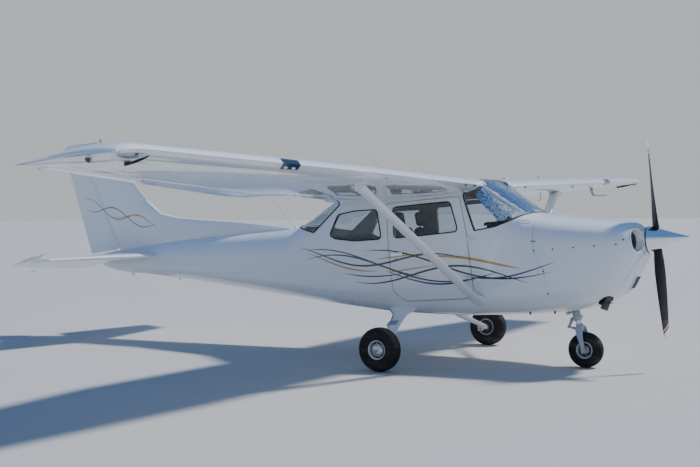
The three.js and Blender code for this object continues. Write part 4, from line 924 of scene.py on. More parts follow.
def makeFrontWheel():
    low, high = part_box("tyre_nose")
    centre = (Vector(low) + Vector(high)) / 2
    s = frontWheel
    place("tyre_front", makeTyreShape(s, centre, (0, 1, 0)), "wheel_nose", tyreRubber, "tyre_rubber", 32, ["tyre_nose"])
    place("rim_front", makeRimShape(s, centre, (0, 1, 0)), "wheel_nose", [rimPaint, rimShade], "rim_metal", 32,
          ["rim_nose"])
    parts = []
    for side in (-1, 1):
        axis = Vector((0, side, 0))
        parts += boltHeads(centre, axis, 62, 12, 6, 0.0055)
        parts.append(spun([(30, 14.4), (47, 14.4), (47, 26), (43, 30), (30, 31)], centre, axis, 40, closed=True))
    place("rim_bolts_front", joined(parts), "wheel_nose", steel)


makeMainWheels()
makeFrontWheel()
print("wheels made")


# Nose leg and fork

noseLeg = {"pos": (3.106378, 0, 0.177815), "axis": (-0.266734, 0, 0.96377), "tube": 0.040, "tubeFrom": 0.300,
           "tubeTo": 0.610, "piston": 0.027, "crown": 0.196, "arm": 0.082}


def legPlace(ahead=0.0, across=0.0, up=0.0):
    axis = Vector(noseLeg["axis"])
    turn = Matrix((Vector((0, 1, 0)).cross(axis), Vector((0, 1, 0)), axis)).transposed().to_4x4()
    return Matrix.Translation(noseLeg["pos"]) @ turn @ Matrix.Translation((ahead, across, up))


def oval(spot, wide, deep, count=20, power=2.0):
    ring = []
    for i in range(count):
        turn = 2 * math.pi * i / count
        across = math.copysign(abs(math.cos(turn)) ** (2 / power), math.cos(turn))
        along_ = math.copysign(abs(math.sin(turn)) ** (2 / power), math.sin(turn))
        ring.append(spot @ Vector((across * wide / 2, along_ * deep / 2, 0)))
    return ring


def makeNoseLeg():
    s = noseLeg
    axis = Vector(s["axis"])
    base = legPlace()
    arms = []
    for side in (-1, 1):
        rows = [(2, 12, 250, 72, 58), (3, 34, 236, 76, 50), (4, 58, 214, 76, 38), (4, 76, 182, 70, 27),
                (4, 84, 140, 60, 20), (3, 85, 96, 50, 17), (2, 85, 50, 42, 15), (0, 85, 18, 44, 15),
                (0, 85, 0, 52, 16), (0, 85, -18, 44, 15), (0, 85, -27, 20, 12)]
        chains = [oval(legPlace(x / 1000, side * y / 1000, z / 1000), wide / 1000, deep / 1000, 24, 3.0)
                  for x, y, z, wide, deep in rows]
        arms.append(lofted(chains))
        hub = legPlace(0, side * 0.074, 0) @ Matrix.Rotation(-side * math.pi / 2, 4, "X")
        arms.append(disc(0.026, 0.026, hub, 28, 0.86))
    boss = spun([(188, 0), (188, 30), (196, 36), (262, 36), (270, 32), (270, 0)], base.translation, axis, 32)
    place("fork_casting", joined(arms + [boss]), "nose_fork", shadedForkPaint, "gear_steel", 36, ["nose_fork"])
    piston = spun([(262, 0), (262, 26.5), (299, 26.5), (299, 0)], base.translation, axis, 40)
    place("oleo_piston", piston, "nose_fork", chrome, "polished_metal")
    nuts = []
    for side in (-1, 1):
        end = legPlace(0, side * 0.098, 0) @ Matrix.Rotation(-side * math.pi / 2, 4, "X")
        nuts += [disc(0.017, 0.004, end, 20, 0.95), disc(0.012, 0.012, end, 6, 0.95), disc(0.006, 0.017, end, 12, 0.8)]
    across = legPlace(0, -0.1, 0) @ Matrix.Rotation(-math.pi / 2, 4, "X")
    nuts.append(disc(0.0125, 0.2, across, 24, 1.0))
    place("axle_nuts", joined(nuts), "nose_fork", steel)

    knee = legPlace(-0.112, 0, 0.262)
    collar = [(318, 41.5), (318, 52), (322, 56), (346, 56), (350, 52), (350, 41.5)]
    links = [spun(collar, base.translation, axis, 40, closed=True)]
    for low, high in ((legPlace(-0.03, 0, 0.222), legPlace(-0.104, 0, 0.256)),
                      (legPlace(-0.052, 0, 0.336), legPlace(-0.108, 0, 0.268))):
        run = (high.translation - low.translation).normalized()
        face = Matrix((run.cross(Vector((0, 1, 0))), Vector((0, 1, 0)), run)).transposed().to_4x4()
        for side in (-1, 1):
            chains = []
            for share, y, wide, deep in ((0, 24, 24, 10), (0.2, 23, 22, 10), (0.8, 13, 18, 9), (1, 11, 20, 9)):
                spot = low.translation.lerp(high.translation, share) + Vector((0, side * y / 1000, 0))
                chains.append(oval(Matrix.Translation(spot) @ face, wide / 1000, deep / 1000, 16, 3.0))
            links.append(lofted(chains))
    for spot, wide in ((legPlace(-0.03, 0, 0.222), 0.066), (legPlace(-0.052, 0, 0.336), 0.066), (knee, 0.05)):
        pin = spot @ Matrix.Translation((0, -wide / 2, 0)) @ Matrix.Rotation(-math.pi / 2, 4, "X")
        links += [disc(0.0075, wide, pin, 16, 1.0), disc(0.011, 0.006, pin, 6, 0.95),
                  disc(0.011, 0.006, pin @ Matrix.Translation((0, 0, wide - 0.006)), 6, 0.95)]
    place("torque_links", joined(links), "nose_fork", shadedForkPaint)

    tube = [(300, 28), (300, 39), (304, 40.5), (372, 40.5), (374, 43), (392, 43), (394, 40), (608, 40), (608, 28)]
    parts = [spun(tube, base.translation, axis, 48, closed=True)]
    bracket = airPlace(1262, 0, -600)
    parts.append(block((0.075, 0.11, 0.05), bracket, 0.008, 3))
    parts.append(block((0.05, 0.16, 0.022), airPlace(1258, 0, -632), 0.006, 3))
    place("oleo_tube", joined(parts), "airframe", shadedForkPaint, "bare_steel", 36, ["nose_gear_tube"])
    fittings = []
    for y in (-0.045, 0.045):
        fittings.append(disc(0.009, 0.02, airPlace(1240, y * 1000, -654), 6, 0.9))
    damper = legPlace(-0.075, -0.055, 0.40) @ Matrix.Rotation(-math.pi / 2, 4, "X")
    fittings.append(spun([(0, 0), (0, 15), (4, 18), (96, 18), (100, 15), (100, 6), (132, 6), (132, 0)],
                         damper.translation, damper.to_3x3() @ Vector((0, 0, 1)), 28))
    arm = [legPlace(-0.038, 0.06, 0.384).translation, legPlace(-0.075, 0.07, 0.396).translation]
    fittings.append(swept([Vector(spot) for spot in arm], 0.007))
    place("shimmy_damper", joined(fittings), "airframe", steel)


makeNoseLeg()
print("nose leg made")


# Propeller and spinner

rotor = {"pos": (3.822355, 0, 1.294943), "axis": (0.996917, 0, 0.078459), "lean": math.radians(4.3),
         "slant": -0.5,
         "blade": [(60, 92, 60, 40), (120, 92, 56, 40), (160, 99, 48, 38.8), (200, 112, 38, 37), (265, 127, 31, 33),
                   (340, 140, 26, 29), (450, 146, 21.5, 24.5), (560, 147, 18, 21), (660, 141, 15.2, 18.3),
                   (760, 132, 13, 16), (840, 120, 11.2, 14.8), (900, 108, 10, 14), (935, 92, 8.6, 13.6),
                   (955, 72, 7, 13.2), (965, 46, 4, 13)],
         "spinner": [(317, 0), (315.6, 3.6), (312, 7), (304, 11), (283, 17.5), (254, 26), (200, 43), (147, 60.5),
                     (94, 79), (41, 97.5), (10, 108), (-18, 117.5), (-42, 125), (-58, 129.5), (-70, 132)]}


def rotorPlace():
    axis = Vector(rotor["axis"])
    turn = Matrix((axis, Vector((0, 1, 0)), axis.cross(Vector((0, 1, 0))))).transposed().to_4x4()
    return Matrix.Translation(rotor["pos"]) @ turn @ Matrix.Rotation(rotor["lean"], 4, "X")


def smoothRows(rows, parts=4):
    fine = []
    for i in range(len(rows) - 1):
        a, b, c, d = (Vector(rows[max(0, min(len(rows) - 1, i + k))]) for k in (-1, 0, 1, 2))
        for k in range(parts):
            t = k / parts
            fine.append(0.5 * ((2 * b) + (c - a) * t + (2 * a - 5 * b + 4 * c - d) * t * t
                               + (3 * b - a - 3 * c + d) * t ** 3))
    return [tuple(row) for row in fine] + [rows[-1]]


def makePropeller():
    home = rotorPlace()
    blades = []
    for side in (-1, 1):
        chains = []
        for radius, chord, thick, angle in smoothRows(rotor["blade"], 3):
            turn = math.radians(angle)
            ring = []
            for i in range(24):
                t = 2 * math.pi * i / 24
                run = math.cos(t) * chord / 2
                across = math.sin(t) * thick / 2 * (1 - 0.3 * math.cos(t)) + 0.12 * thick * math.sin(t) ** 2
                ring.append(home @ (Vector((run * math.sin(turn) + across * math.cos(turn),
                                            side * (-run * math.cos(turn) + across * math.sin(turn)),
                                            side * radius)) / 1000))
            chains.append(ring)
        blade = lofted(chains)
        for face in blade.faces:
            spot = face.calc_center_median() - home.translation
            ahead = face.normal.dot(home.to_3x3() @ Vector((1, 0, 0))) > 0
            face.material_index = 1 if ahead and spot.length > 0.80 else 0
        blades.append(blade)
    axis = Vector(rotor["axis"])
    blades.append(spun([(-42, 0), (-42, 66), (-36, 70), (38, 70), (44, 66), (44, 0)], home.translation, axis, 32))
    place("blades", joined(blades), "propeller", [propPaint, makePropTip()], "propeller_black", 50, ["propeller"])


def makeSpinner():
    home = rotorPlace()
    axis = Vector(rotor["axis"])
    rows = smoothRows(rotor["spinner"], 5)
    rows[0] = (317, 0)
    shell = spun(rows + [(-72, 130), (-72, 0)], home.translation, axis, 96)
    cutters = []
    for side in (-1, 1):
        chains = []
        for radius in (40, 170):
            frame_ = home @ Matrix.Translation((0, 0, side * radius / 1000)) @ Matrix.Rotation(
                side * math.radians(50), 4, "Z")
            chains.append(oval(frame_, 0.104, 0.070, 32, 2.4))
        cutters.append(lofted(chains))
    spinner = place("spinner_cone", shell, "propeller", chrome, "polished_metal", 40, ["spinner"])
    cutter = bpy.data.objects.new("cutter", bpy.data.meshes.new("cutter"))
    joinedCutters = joined(cutters)
    joinedCutters.to_mesh(cutter.data)
    joinedCutters.free()
    bpy.context.scene.collection.objects.link(cutter)
    modifier = spinner.modifiers.new("bladeHoles", "BOOLEAN")
    modifier.object = cutter
    modifier.solver = "EXACT"
    bpy.context.view_layer.update()
    cut = bpy.data.meshes.new_from_object(spinner.evaluated_get(bpy.context.evaluated_depsgraph_get()))
    spinner.modifiers.clear()
    spinner.data = cut
    cut.name = "spinner_cone"
    bpy.data.objects.remove(cutter)
    plate = [(-72, 0), (-72, 128), (-73, 130), (-77, 130), (-77, 112), (-77, 0)]
    place("spinner_plate", spun(plate, home.translation, axis, 72), "propeller", darkPlastic, smooth=30)
    screws = []
    for spot in around(home.translation, axis, 129.3, -58, 18, 0.17):
        outward = (spot.translation - home.translation)
        outward = (outward - axis * outward.dot(axis)).normalized()
        screws.append(disc(0.0036, 0.0012, seated(spot.translation, outward, axis), 12, 0.7))
    place("spinner_screws", joined(screws), "propeller", steel)


makePropeller()
makeSpinner()
print("propeller made")


# Cowl

cowl = {"split": -22, "inletY": 250, "inletWide": 99, "inletHigh": 112, "fasteners": [
    (1388, -26), (1199, -25), (994, -22), (793, -19), (588, -20), (523, 19), (1307, -234), (1291, -456),
    (1375, 64), (1400, 66)]}
chin = {"wide": 71, "outer": 99, "top": -344, "bottom": -464, "end": -507, "lift": 1.6}


def sideNode(station, height, side):
    if station > 4390:
        return "tailcone"
    if station > 1304:
        return "cabin_shell"
    return "cowl_upper" if height > cowl["split"] else "cowl_lower"


def skinPath(spots, side, lift=0.0):
    return [at(s, side * (skinSide(s, w) + lift), w) for s, w in spots]


def skinFront(y, w, lift=0.0):
    low, high = 403.0, 700.0
    for _ in range(24):
        middle = (low + high) / 2
        if skinShare(middle, y, w) > 1:
            low = middle
        else:
            high = middle
    return at(low - lift, y, w - lift * 0.5)


def makeCowlDetails():
    heads = []
    for side in (-1, 1):
        for station, height in cowl["fasteners"]:
            spot, normal = onSide(sideNode(station, height, side), station, height, side)
            home = seated(spot, normal)
            heads += [disc(0.0085, 0.0012, home, 20, 0.9), disc(0.0062, 0.0022, home, 16, 0.75),
                      block((0.009, 0.0016, 0.0008), home @ Matrix.Translation((0, 0, 0.0023)), 0.0002, 1)]
    place("cowl_fasteners", joined(heads), "airframe", darkSteel)
    lips, throats, fins = [], [], []
    for side in (-1, 1):
        loop = []
        for i in range(36):
            turn = 2 * math.pi * i / 36
            y = side * cowl["inletY"] + math.cos(turn) * (cowl["inletWide"] + 4)
            w = math.sin(turn) * (cowl["inletHigh"] + 4)
            node = "cowl_upper" if w > cowl["split"] + 0.5 else "cowl_lower"
            spot, _ = hit(node, at(250, y, w), along(1, 0, 0))
            loop.append(spot)
        lips.append(swept(loop, 0.0075, closed=True, sides=4))
        rings = []
        for run, shrink in ((3, 0), (34, 0), (72, 2), (74, 2), (130, 6)):
            ring = []
            for i, spot in enumerate(loop):
                turn = 2 * math.pi * i / 36
                inward = along(0, -math.cos(turn), -math.sin(turn)) * shrink / 1000
                ring.append(spot + along(1, 0, 0) * run / 1000 + inward)
            rings.append(ring)
        throat = lofted(rings, capped=False)
        # Deeper faces of the duct take the dark engine iron: painted shade deep inside the duct.
        for face in throat.faces:
            spot = toAir @ face.calc_center_median() * 1000
            face.material_index = 0 if -spot.x < 474 + abs(abs(spot.y) - 150) * 0.4 else 1
        throats.append(throat)
        for i in range(11):
            fins.append(block((0.016, 0.180, 0.0035), airPlace(610, side * 240, -110 + i * 14), 0.0008, 1))
        for y in (-60, 62):
            turn = airPlace(606, side * 240 + y, -40) @ Matrix.Rotation(math.pi / 2, 4, "Y")
            fins.append(disc(0.012, 0.004, turn @ Matrix.Translation((0, 0, -0.002)), 12, 1.0))
    place("inlet_lips", joined(lips), "airframe", plainPaint)
    throat = place("inlet_throats", joined(throats), "airframe", [plainPaint, iron])
    wall = throat.modifiers.new("wall", "SOLIDIFY")
    wall.thickness = 0.002
    place("cylinder_fins", joined(fins), "airframe", steel)

    rows = []
    for i in range(21):
        w = -334 + (chin["end"] + 334) * i / 20
        rows.append([skinFront(-chin["outer"] + 2 * chin["outer"] * k / 18, w, chin["lift"]) for k in range(19)])
    mouth = lofted(rows, closed=False)
    for face in mouth.faces:
        spot = toAir @ face.calc_center_median() * 1000
        face.material_index = 1 if abs(spot.y) < chin["wide"] and chin["bottom"] < spot.z < chin["top"] else 0
        if face.normal.dot(along(-1, 0, -0.5)) < 0:
            face.normal_flip()
    wall = place("chin_intake_face", mouth, "airframe", [plainPaint, screenMesh]).modifiers.new("wall", "SOLIDIFY")
    wall.thickness = 0.003
    corners = [(-1, "top"), (1, "top"), (1, "bottom"), (-1, "bottom")]
    loop = []
    for (first, high), (second, low) in zip(corners, corners[1:] + corners[:1]):
        for k in range(12):
            y = chin["wide"] * (first + (second - first) * k / 12)
            loop.append(skinFront(y, chin[high] + (chin[low] - chin[high]) * k / 12, 4))
    lip = [skinFront(-76 + 152 * k / 14, chin["bottom"] - 5, 9) for k in range(15)]
    place("chin_intake_frame", joined([swept(loop, 0.0048, closed=True, sides=3), swept(lip, 0.0095, sides=4)]),
          "airframe", plainPaint)
    slats = [swept([skinFront(-66 + 132 * k / 8, w, 3.2) for k in range(9)], 0.0019, sides=2)
             for w in range(chin["top"] - 11, chin["bottom"], -12)]
    place("chin_intake_slats", joined(slats), "airframe", seamGrey)

    ring = []
    for i in range(32):
        turn = 2 * math.pi * i / 32
        s, y = 796 + math.cos(turn) * 68, -220 + math.sin(turn) * 68
        spot, _ = onTop("cowl_lower", s, y, -1)
        ring.append(spot)
    place("exhaust_rim", swept(ring, 0.006, closed=True, sides=3), "airframe", darkPlastic)
    inner = airPlace(796, -220, -590)
    flange = spun([(0, 40), (0, 74), (4, 74), (4, 40)], inner.translation, along(0, 0, 1), 40, closed=True)
    place("exhaust_baffle", flange, "airframe", iron)
    pipe = [(-120, 38), (52, 38), (60, 39.5), (64, 38), (62, 34.5), (-60, 33.5), (-120, 33.5)]
    home = airPlace(796, -220, -586)
    bend = math.radians(24)
    place("tailpipe", spun(pipe, home.translation, along(math.sin(bend), 0, -math.cos(bend)), 48, closed=True),
          "airframe", exhaustSteel, "bare_steel", 40, ["exhaust_pipe"])


def makeSeams():
    lines = []
    for side in (-1, 1):
        upper = [(1392, 4 + 352 * i / 24 - 26) for i in range(23)]
        lower = [(1392, -30), (1372, -90), (1336, -170), (1310, -234), (1298, -330), (1291, -456), (1290, -560)]
        lines.append(swept(skinPath(upper + [(1392, 330)], side), 0.0011))
        lines.append(swept(skinPath(lower, side), 0.0011))
        for name in ("leaf", "baggage"):
            if name == "baggage" and side < 0:
                continue
            corners, radius = outlines[name]
            fine = [spot for spot in roundedOutline(corners, radius)]
            lines.append(swept([at(p.x, side * (skinSide(p.x, p.y) - 0.6), p.y) for p in fine], 0.0015, closed=True))
    place("panel_seams", joined(lines), "airframe", seamGrey)


def makeBodyFittings():
    dark, bare = [], []
    for side in (-1, 1):
        corners = [(1555, 288), (1555, 262), (1436, 246), (1436, 272)]
        fine = roundedOutline(corners, 12, 5, 10)
        dark.append(swept(skinPath([(p.x, p.y) for p in fine], side), 0.0012, closed=True))
        spot, normal = onSide("cabin_shell", 1736, -352, side)
        home = seated(spot, normal)
        step = block((0.135, 0.012, 0.020), home, 0.006, 3)
        bare.append(step)
        for station, height in ((1309, -646), (1540, -640)):
            spot, normal = onSide("cabin_shell", station, height, side)
            dark.append(disc(0.011, 0.022, seated(spot, normal), 16, 0.7))
    place("skin_trims", joined(dark), "airframe", seal)
    place("side_steps", joined(bare), "airframe", plainPaint)

    parts = []
    spot, normal = onTop("cabin_shell", 3194, 0, -1)
    home = Matrix.Translation(spot)
    rings = [oval(home @ Matrix.Translation((x, 0, z)), wide, deep, 20) for x, z, wide, deep in
             ((0, 0.01, 0.090, 0.022), (-0.012, -0.03, 0.066, 0.015), (-0.03, -0.075, 0.040, 0.009),
              (-0.034, -0.082, 0.022, 0.004))]
    parts.append(lofted(rings))
    place("belly_antenna", joined(parts), "airframe", plainPaint)

    spot, normal = onTop("tailcone", 7072, 0, -1)
    home = Matrix.Translation(spot)
    ring = [home @ Vector((math.cos(2 * math.pi * i / 20) * 0.019, 0, -0.016 + math.sin(2 * math.pi * i / 20) * 0.019))
            for i in range(20)]
    place("tail_ring", joined([swept(ring, 0.0042, closed=True), disc(0.016, 0.008, home @ Matrix.Rotation(
        math.pi, 4, "X"), 20, 0.8)]), "airframe", steel)


makeCowlDetails()
makeSeams()
makeBodyFittings()
print("cowl and body fittings made")


# Doors

handle = {"from": 2850, "to": 2970, "low": 20, "high": 46}


def makeDoorFittings():
    for label, side in (("left", 1), ("right", -1)):
        middle = ((handle["from"] + handle["to"]) / 2, (handle["low"] + handle["high"]) / 2)
        home = airPlace(middle[0], side * 541, middle[1])
        lever = [block((0.136, 0.006, 0.040), home, 0.0028, 3)]
        lever.append(block((0.104, 0.010, 0.022), home @ Matrix.Translation((0.008, side * 0.004, 0)), 0.004, 3))
        place("door_handle_" + label, joined(lever), "door_" + label, chrome, "polished_metal")
        lock = airPlace(2930, side * (skinSide(2930, -10) + 0), -12) @ Matrix.Rotation(-side * math.pi / 2, 4, "X")
        place("door_lock_" + label, joined([disc(0.011, 0.002, lock, 24, 0.92), disc(0.0075, 0.0032, lock, 20, 0.9)]),
              "door_" + label, steel)
        covers = []
        for w in (-300, 140):
            pin = airPlace(2074, side * 547, w)
            covers.append(spun([(-26, 0), (-26, 5), (-24, 9.5), (24, 9.5), (26, 5), (26, 0)], pin.translation,
                               along(0, 0, 1), 24))
        place("hinge_caps_" + label, joined(covers), "airframe", plainPaint)


makeDoorFittings()
print("door fittings made")


# Wings

wing = {"rootHeight": 664.5, "rootY": 530, "rise": math.tan(math.radians(1.73)), "edge": [(396, 1937), (530, 1937),
        (2500, 1950), (5290, 2072), (5380, 2082), (5450, 2108), (5499, 2170)]}


def edgeStation(y):
    rows = wing["edge"]
    for (y0, s0), (y1, s1) in zip(rows, rows[1:]):
        if y <= y1:
            return s0 + (s1 - s0) * (y - y0) / (y1 - y0)
    return rows[-1][1]


def edgeHeight(y):
    return wing["rootHeight"] + 12 + max(0, y - wing["rootY"]) * wing["rise"] + max(0, y - 2500) * 0.0108


def noseSpot(label, side, y, turn, lift=0.0):
    centre = at(edgeStation(y) + 90, side * y, edgeHeight(y) - 2)
    out = along(-math.cos(turn), 0, math.sin(turn))
    spot, _ = hit("wing_" + label, centre + out * 0.6, -out)
    return spot + out * lift


fairing = {"from": 530, "to": 290, "steps": 9, "centre": (2130, 690), "turn": math.radians(93), "rays": 30}


def makeRootFairings(s):
    for label, side in (("left", 1), ("right", -1)):
        profile = []
        for i in range(s["rays"] + 1):
            turn = s["turn"] * (2 * i / s["rays"] - 1)
            out = along(-math.cos(turn), 0, math.sin(turn))
            spot, _ = hit("wing_" + label, at(s["centre"][0], side * 532, s["centre"][1]) + out * 0.6, -out)
            spot = toAir @ spot * 1000
            profile.append((-spot.x, spot.z))
        chains = []
        for k in range(s["steps"] + 1):
            y = s["from"] + (s["to"] - s["from"]) * k / s["steps"]
            chain = []
            for station, w in profile:
                if skinShare(station, y, w) < 1:
                    w = skinTop(station, y) - 4
                chain.append(at(station, side * y, w))
            chains.append(chain)
        shell = lofted(chains, closed=False)
        lead = min(shell.faces, key=lambda face: -(toAir @ face.calc_center_median()).x)
        if lead.normal.dot(along(-1, 0, 0)) < 0:
            bmesh.ops.reverse_faces(shell, faces=shell.faces)
        made = place("wing_root_fairing_" + label, shell, "airframe", plainPaint, smooth=50)
        wall = made.modifiers.new("wall", "SOLIDIFY")
        wall.thickness = 0.002


lamp = {"from": 3588, "to": 3812, "low": math.radians(-42), "high": math.radians(46), "around": 18, "across": 12}


def makeWingLamps():
    s = lamp
    for label, side in (("left", 1), ("right", -1)):
        grid = []
        for i in range(s["across"] + 1):
            y = s["from"] + (s["to"] - s["from"]) * i / s["across"]
            share = abs(2 * i / s["across"] - 1)
            trim = 0.22 * share ** 6
            turns = [s["low"] + trim + (s["high"] - s["low"] - 2 * trim) * k / s["around"] for k in range(s["around"] + 1)]
            grid.append([noseSpot(label, side, y, turn, 0.0018) for turn in turns])
        # The lens is opaque and dark: painted shade of the lamp cavity behind it.
        lens = place("landing_lens_" + label, lofted(grid, closed=False), "airframe", lensDark, smooth=60)
        wall = lens.modifiers.new("wall", "SOLIDIFY")
        wall.thickness = 0.003
        wall.offset = -1
        border = grid[0] + [row[-1] for row in grid[1:]] + list(reversed(grid[-1]))[1:] + [
            row[0] for row in reversed(grid[1:-1])]
        place("lens_border_" + label, swept(border, 0.0022, closed=True, sides=2), "airframe", steel)
        lights = []
        for y in (3650, 3750):
            home = at(edgeStation(y) + 20, side * y, edgeHeight(y) - 4)
            lights.append(spun([(0, 0), (2, 26), (-4, 34), (-20, 30), (-30, 12), (-30, 0)], home, along(-1, 0, 0), 32))
        place("landing_lamps_" + label, joined(lights), "airframe", chrome)


def makeTipLamps():
    for label, side, glassOf in (("left", 1, bulbRed), ("right", -1, bulbGreen)):
        y = 5350
        home = airPlace(2152, side * y, 829) @ Matrix.Rotation(side * 0.55, 4, "Z")
        rim = []
        for i in range(32):
            turn = 2 * math.pi * i / 32
            aim = home @ Vector((0.25, math.cos(turn) * 0.112, math.sin(turn) * 0.050))
            spot = skinTrees["tips"][label].ray_cast(aim, home.to_3x3() @ Vector((-1, 0, 0)))[0]
            rim.append(spot if spot else home @ Vector((0, math.cos(turn) * 0.112, math.sin(turn) * 0.050)))
        place("tip_lamp_rim_" + label, swept(rim, 0.0045, closed=True, sides=3), "airframe", plainPaint)
        lens = ball((0.052, 0.104, 0.044), home @ Matrix.Translation((-0.012, 0, 0)), 32)
        place("tip_lamp_lens_" + label, lens, "airframe", lensClear)
        base = ball((0.044, 0.094, 0.038), home @ Matrix.Translation((-0.036, 0, 0)), 28)
        place("tip_lamp_reflector_" + label, base, "airframe", lampSeat)
        holder = home @ Matrix.Translation((0.016, -side * 0.036, 0))
        bulb = [disc(0.013, 0.018, holder @ Matrix.Translation((0, 0, -0.020)), 20, 0.9),
                ball((0.013, 0.013, 0.018), holder @ Matrix.Translation((0, 0, 0.004)), 20)]
        place("tip_lamp_bulb_" + label, joined(bulb), "airframe", glassOf)
        spot, normal = skinTrees["tips"][label].ray_cast(at(2448, side * 5700, 812), along(0, -side, 0))[:2]
        home = seated(spot, normal)
        out = along(0.35, side, 0).normalized()
        rear = [(-16, 0), (-16, 26), (-6, 29), (-2, 30), (1, 29), (1, 0)]
        place("rear_lamp_housing_" + label, spun(rear, home.translation, out, 36), "airframe", steel)
        dome = [(-4, 0), (-4, 28), (4, 28), (12, 25.5), (19, 20.5), (24, 13), (26.5, 5), (27, 0)]
        place("rear_lamp_lens_" + label, spun(dome, home.translation, out, 32), "airframe", lensDark, smooth=60)


def makeWingFittings():
    for label, side in (("left", 1), ("right", -1)):
        node = "wing_" + label
        rows = []
        for share, deep in ((0, 1), (0.08, 7), (0.3, 14), (0.6, 20), (0.94, 26), (1, 25)):
            station, y = 2118 + 250 * share, 5206 - 34 * share
            spot, _ = onTop(node, station, side * y, -1)
            home = Matrix.Translation(spot)
            rows.append([home @ Vector((0, -0.009, 0.006)), home @ Vector((0, 0.009, 0.006)),
                         home @ Vector((0, 0.006, -deep / 1000)), home @ Vector((0, -0.006, -deep / 1000))])
        place("edge_strip_" + label, lofted(rows), "airframe", seal, smooth=30)

        dark, bare, white = [], [], []
        # Vent openings at the wing root in the black seal material: painted shade inside the openings.
        for y in ((762, 566) if side < 0 else (740,)):
            spot = noseSpot(label, side, y, math.radians(-4))
            home = seated(spot, along(-1, 0, 0), along(0, 0, 1))
            dark.append(spun([(-3, 12), (-3, 18), (3, 17), (3, 13), (-10, 11), (-10, 0)], home.translation,
                             along(-1, 0, 0), 28))
        for s_, y in ((2330, 1060), (2330, 2120)):
            spot, normal = onTop(node, s_, side * y, 1)
            home = seated(spot, normal)
            bare += [disc(0.052, 0.0022, home, 40, 0.97), disc(0.040, 0.0042, home, 40, 0.94),
                     block((0.062, 0.012, 0.008), home @ Matrix.Translation((0, 0, 0.006)), 0.003, 2)]
        spot = noseSpot(label, side, 2300, math.radians(-22))
        home = seated(spot, along(-1, 0, -0.4).normalized(), along(0, 0, 1))
        white += [block((0.046, 0.010, 0.020), home @ Matrix.Translation((0, -0.022, 0.006)), 0.003, 2),
                  block((0.046, 0.010, 0.020), home @ Matrix.Translation((0, 0.022, 0.006)), 0.003, 2),
                  block((0.052, 0.060, 0.005), home, 0.002, 2)]
        bare.append(disc(0.006, 0.056, home @ Matrix.Translation((0, 0.028, 0.012)) @ Matrix.Rotation(
            math.pi / 2, 4, "X"), 14, 1.0))
        spot, normal = onTop(node, 2222, side * 2466, -1)
        home = Matrix.Translation(spot)
        ring = [home @ Vector((math.cos(2 * math.pi * i / 24) * 0.022, 0, -0.024
                               + math.sin(2 * math.pi * i / 24) * 0.022)) for i in range(24)]
        bare += [swept(ring, 0.005, closed=True), disc(0.014, 0.012, home @ Matrix.Rotation(math.pi, 4, "X"), 20, 0.8)]
        for y in (1250, 1900, 3100, 3950, 4750):
            spot, normal = onTop(node, 2700, side * y, -1)
            home = seated(spot, normal)
            white += [disc(0.062, 0.0012, home, 40, 0.98)]
            bare += [disc(0.0032, 0.0020, home @ Matrix.Rotation(k * math.pi / 4, 4, "Z")
                          @ Matrix.Translation((0.054, 0, 0.001)), 10, 0.7) for k in range(8)]
        place("wing_openings_" + label, joined(dark), "airframe", seal)
        place("wing_metalwork_" + label, joined(bare), "airframe", steel)
        place("wing_plates_" + label, joined(white), "airframe", plainPaint)
    spot, normal = onTop("wing_left", 2190, 3560, -1)
    mast = [oval(Matrix.Translation(spot) @ Matrix.Translation((x, 0, z)), wide, deep, 16) for x, z, wide, deep in
            ((0, 0.012, 0.05, 0.02), (0.01, -0.05, 0.04, 0.014), (0.03, -0.092, 0.034, 0.014),
             (0.05, -0.102, 0.02, 0.01))]
    line = [spot + Vector((x, 0, -0.094)) for x in (0.02, 0.11, 0.21)]
    place("airspeed_probe", joined([lofted(mast), swept(line, 0.0075, sides=4)]), "airframe", steel)
    spot, normal = onTop("wing_left", 2420, 2360, -1)
    vent = [spot + Vector((0, 0, 0.01)), spot + Vector((0, 0, -0.06)), spot + Vector((-0.012, 0, -0.078)),
            spot + Vector((-0.035, 0, -0.086))]
    place("fuel_vent", swept(vent, 0.006, sides=4), "airframe", steel)


tipTrees = {}
for label in ("left", "right"):
    bm = joined([copyOf("wing_" + label), copyOf("wing_tip_" + label)])
    tipTrees[label] = BVHTree.FromBMesh(bm)
    bm.free()
skinTrees["tips"] = tipTrees
makeRootFairings(fairing)
makeWingLamps()
makeTipLamps()
makeWingFittings()
print("wing fittings made")


# Tail

def makeTailFittings():
    for name, body, rows in (
            ("elevator_left", "elevator", [(1500, -0.0), (1300, 0), (1100, 0)]),
            ("elevator_right", "elevator", [(1500, 0), (1300, 0), (1100, 0)]),
            ("aileron_left", "aileron_left", [(5150, 0), (4700, 0), (4250, 0)]),
            ("aileron_right", "aileron_right", [(5150, 0), (4700, 0), (4250, 0)])):
        side = 1 if name.endswith("left") else -1
        parts = []
        data = [vertex.co for vertex in nodes[name].data.vertices]
        for y, _ in rows:
            near = [spot for spot in data if abs(abs(spot.y) - y / 1000) < 0.9]
            low = min(near, key=lambda spot: spot.x + abs(abs(spot.y) - y / 1000) * 0.35)
            start = Vector((low.x + 0.004, side * y / 1000, low.z))
            aim = Vector((-1, 0, -0.06)).normalized()
            parts.append(swept([start, start + aim * 0.016], 0.004, sides=2))
            parts.append(swept([start + aim * 0.01, start + aim * 0.085], 0.0014, sides=2))
        place(name + "_wicks", joined(parts), body, antennaWire)
    spot = at(7493, 0, 1752)
    base = spun([(-16, 0), (-16, 30), (2, 27), (4, 24), (4, 0)], spot, along(0, 0, 1), 36)
    place("beacon_base", base, "airframe", steel)
    dome = [(2, 0), (2, 21), (18, 22), (34, 19), (46, 12), (52, 4), (53, 0)]
    place("beacon_dome", spun(dome, spot, along(0, 0, 1), 40), "airframe", lensRed, "red_lens", 50, ["beacon"])


makeTailFittings()
print("tail fittings made")


# Main gear fittings

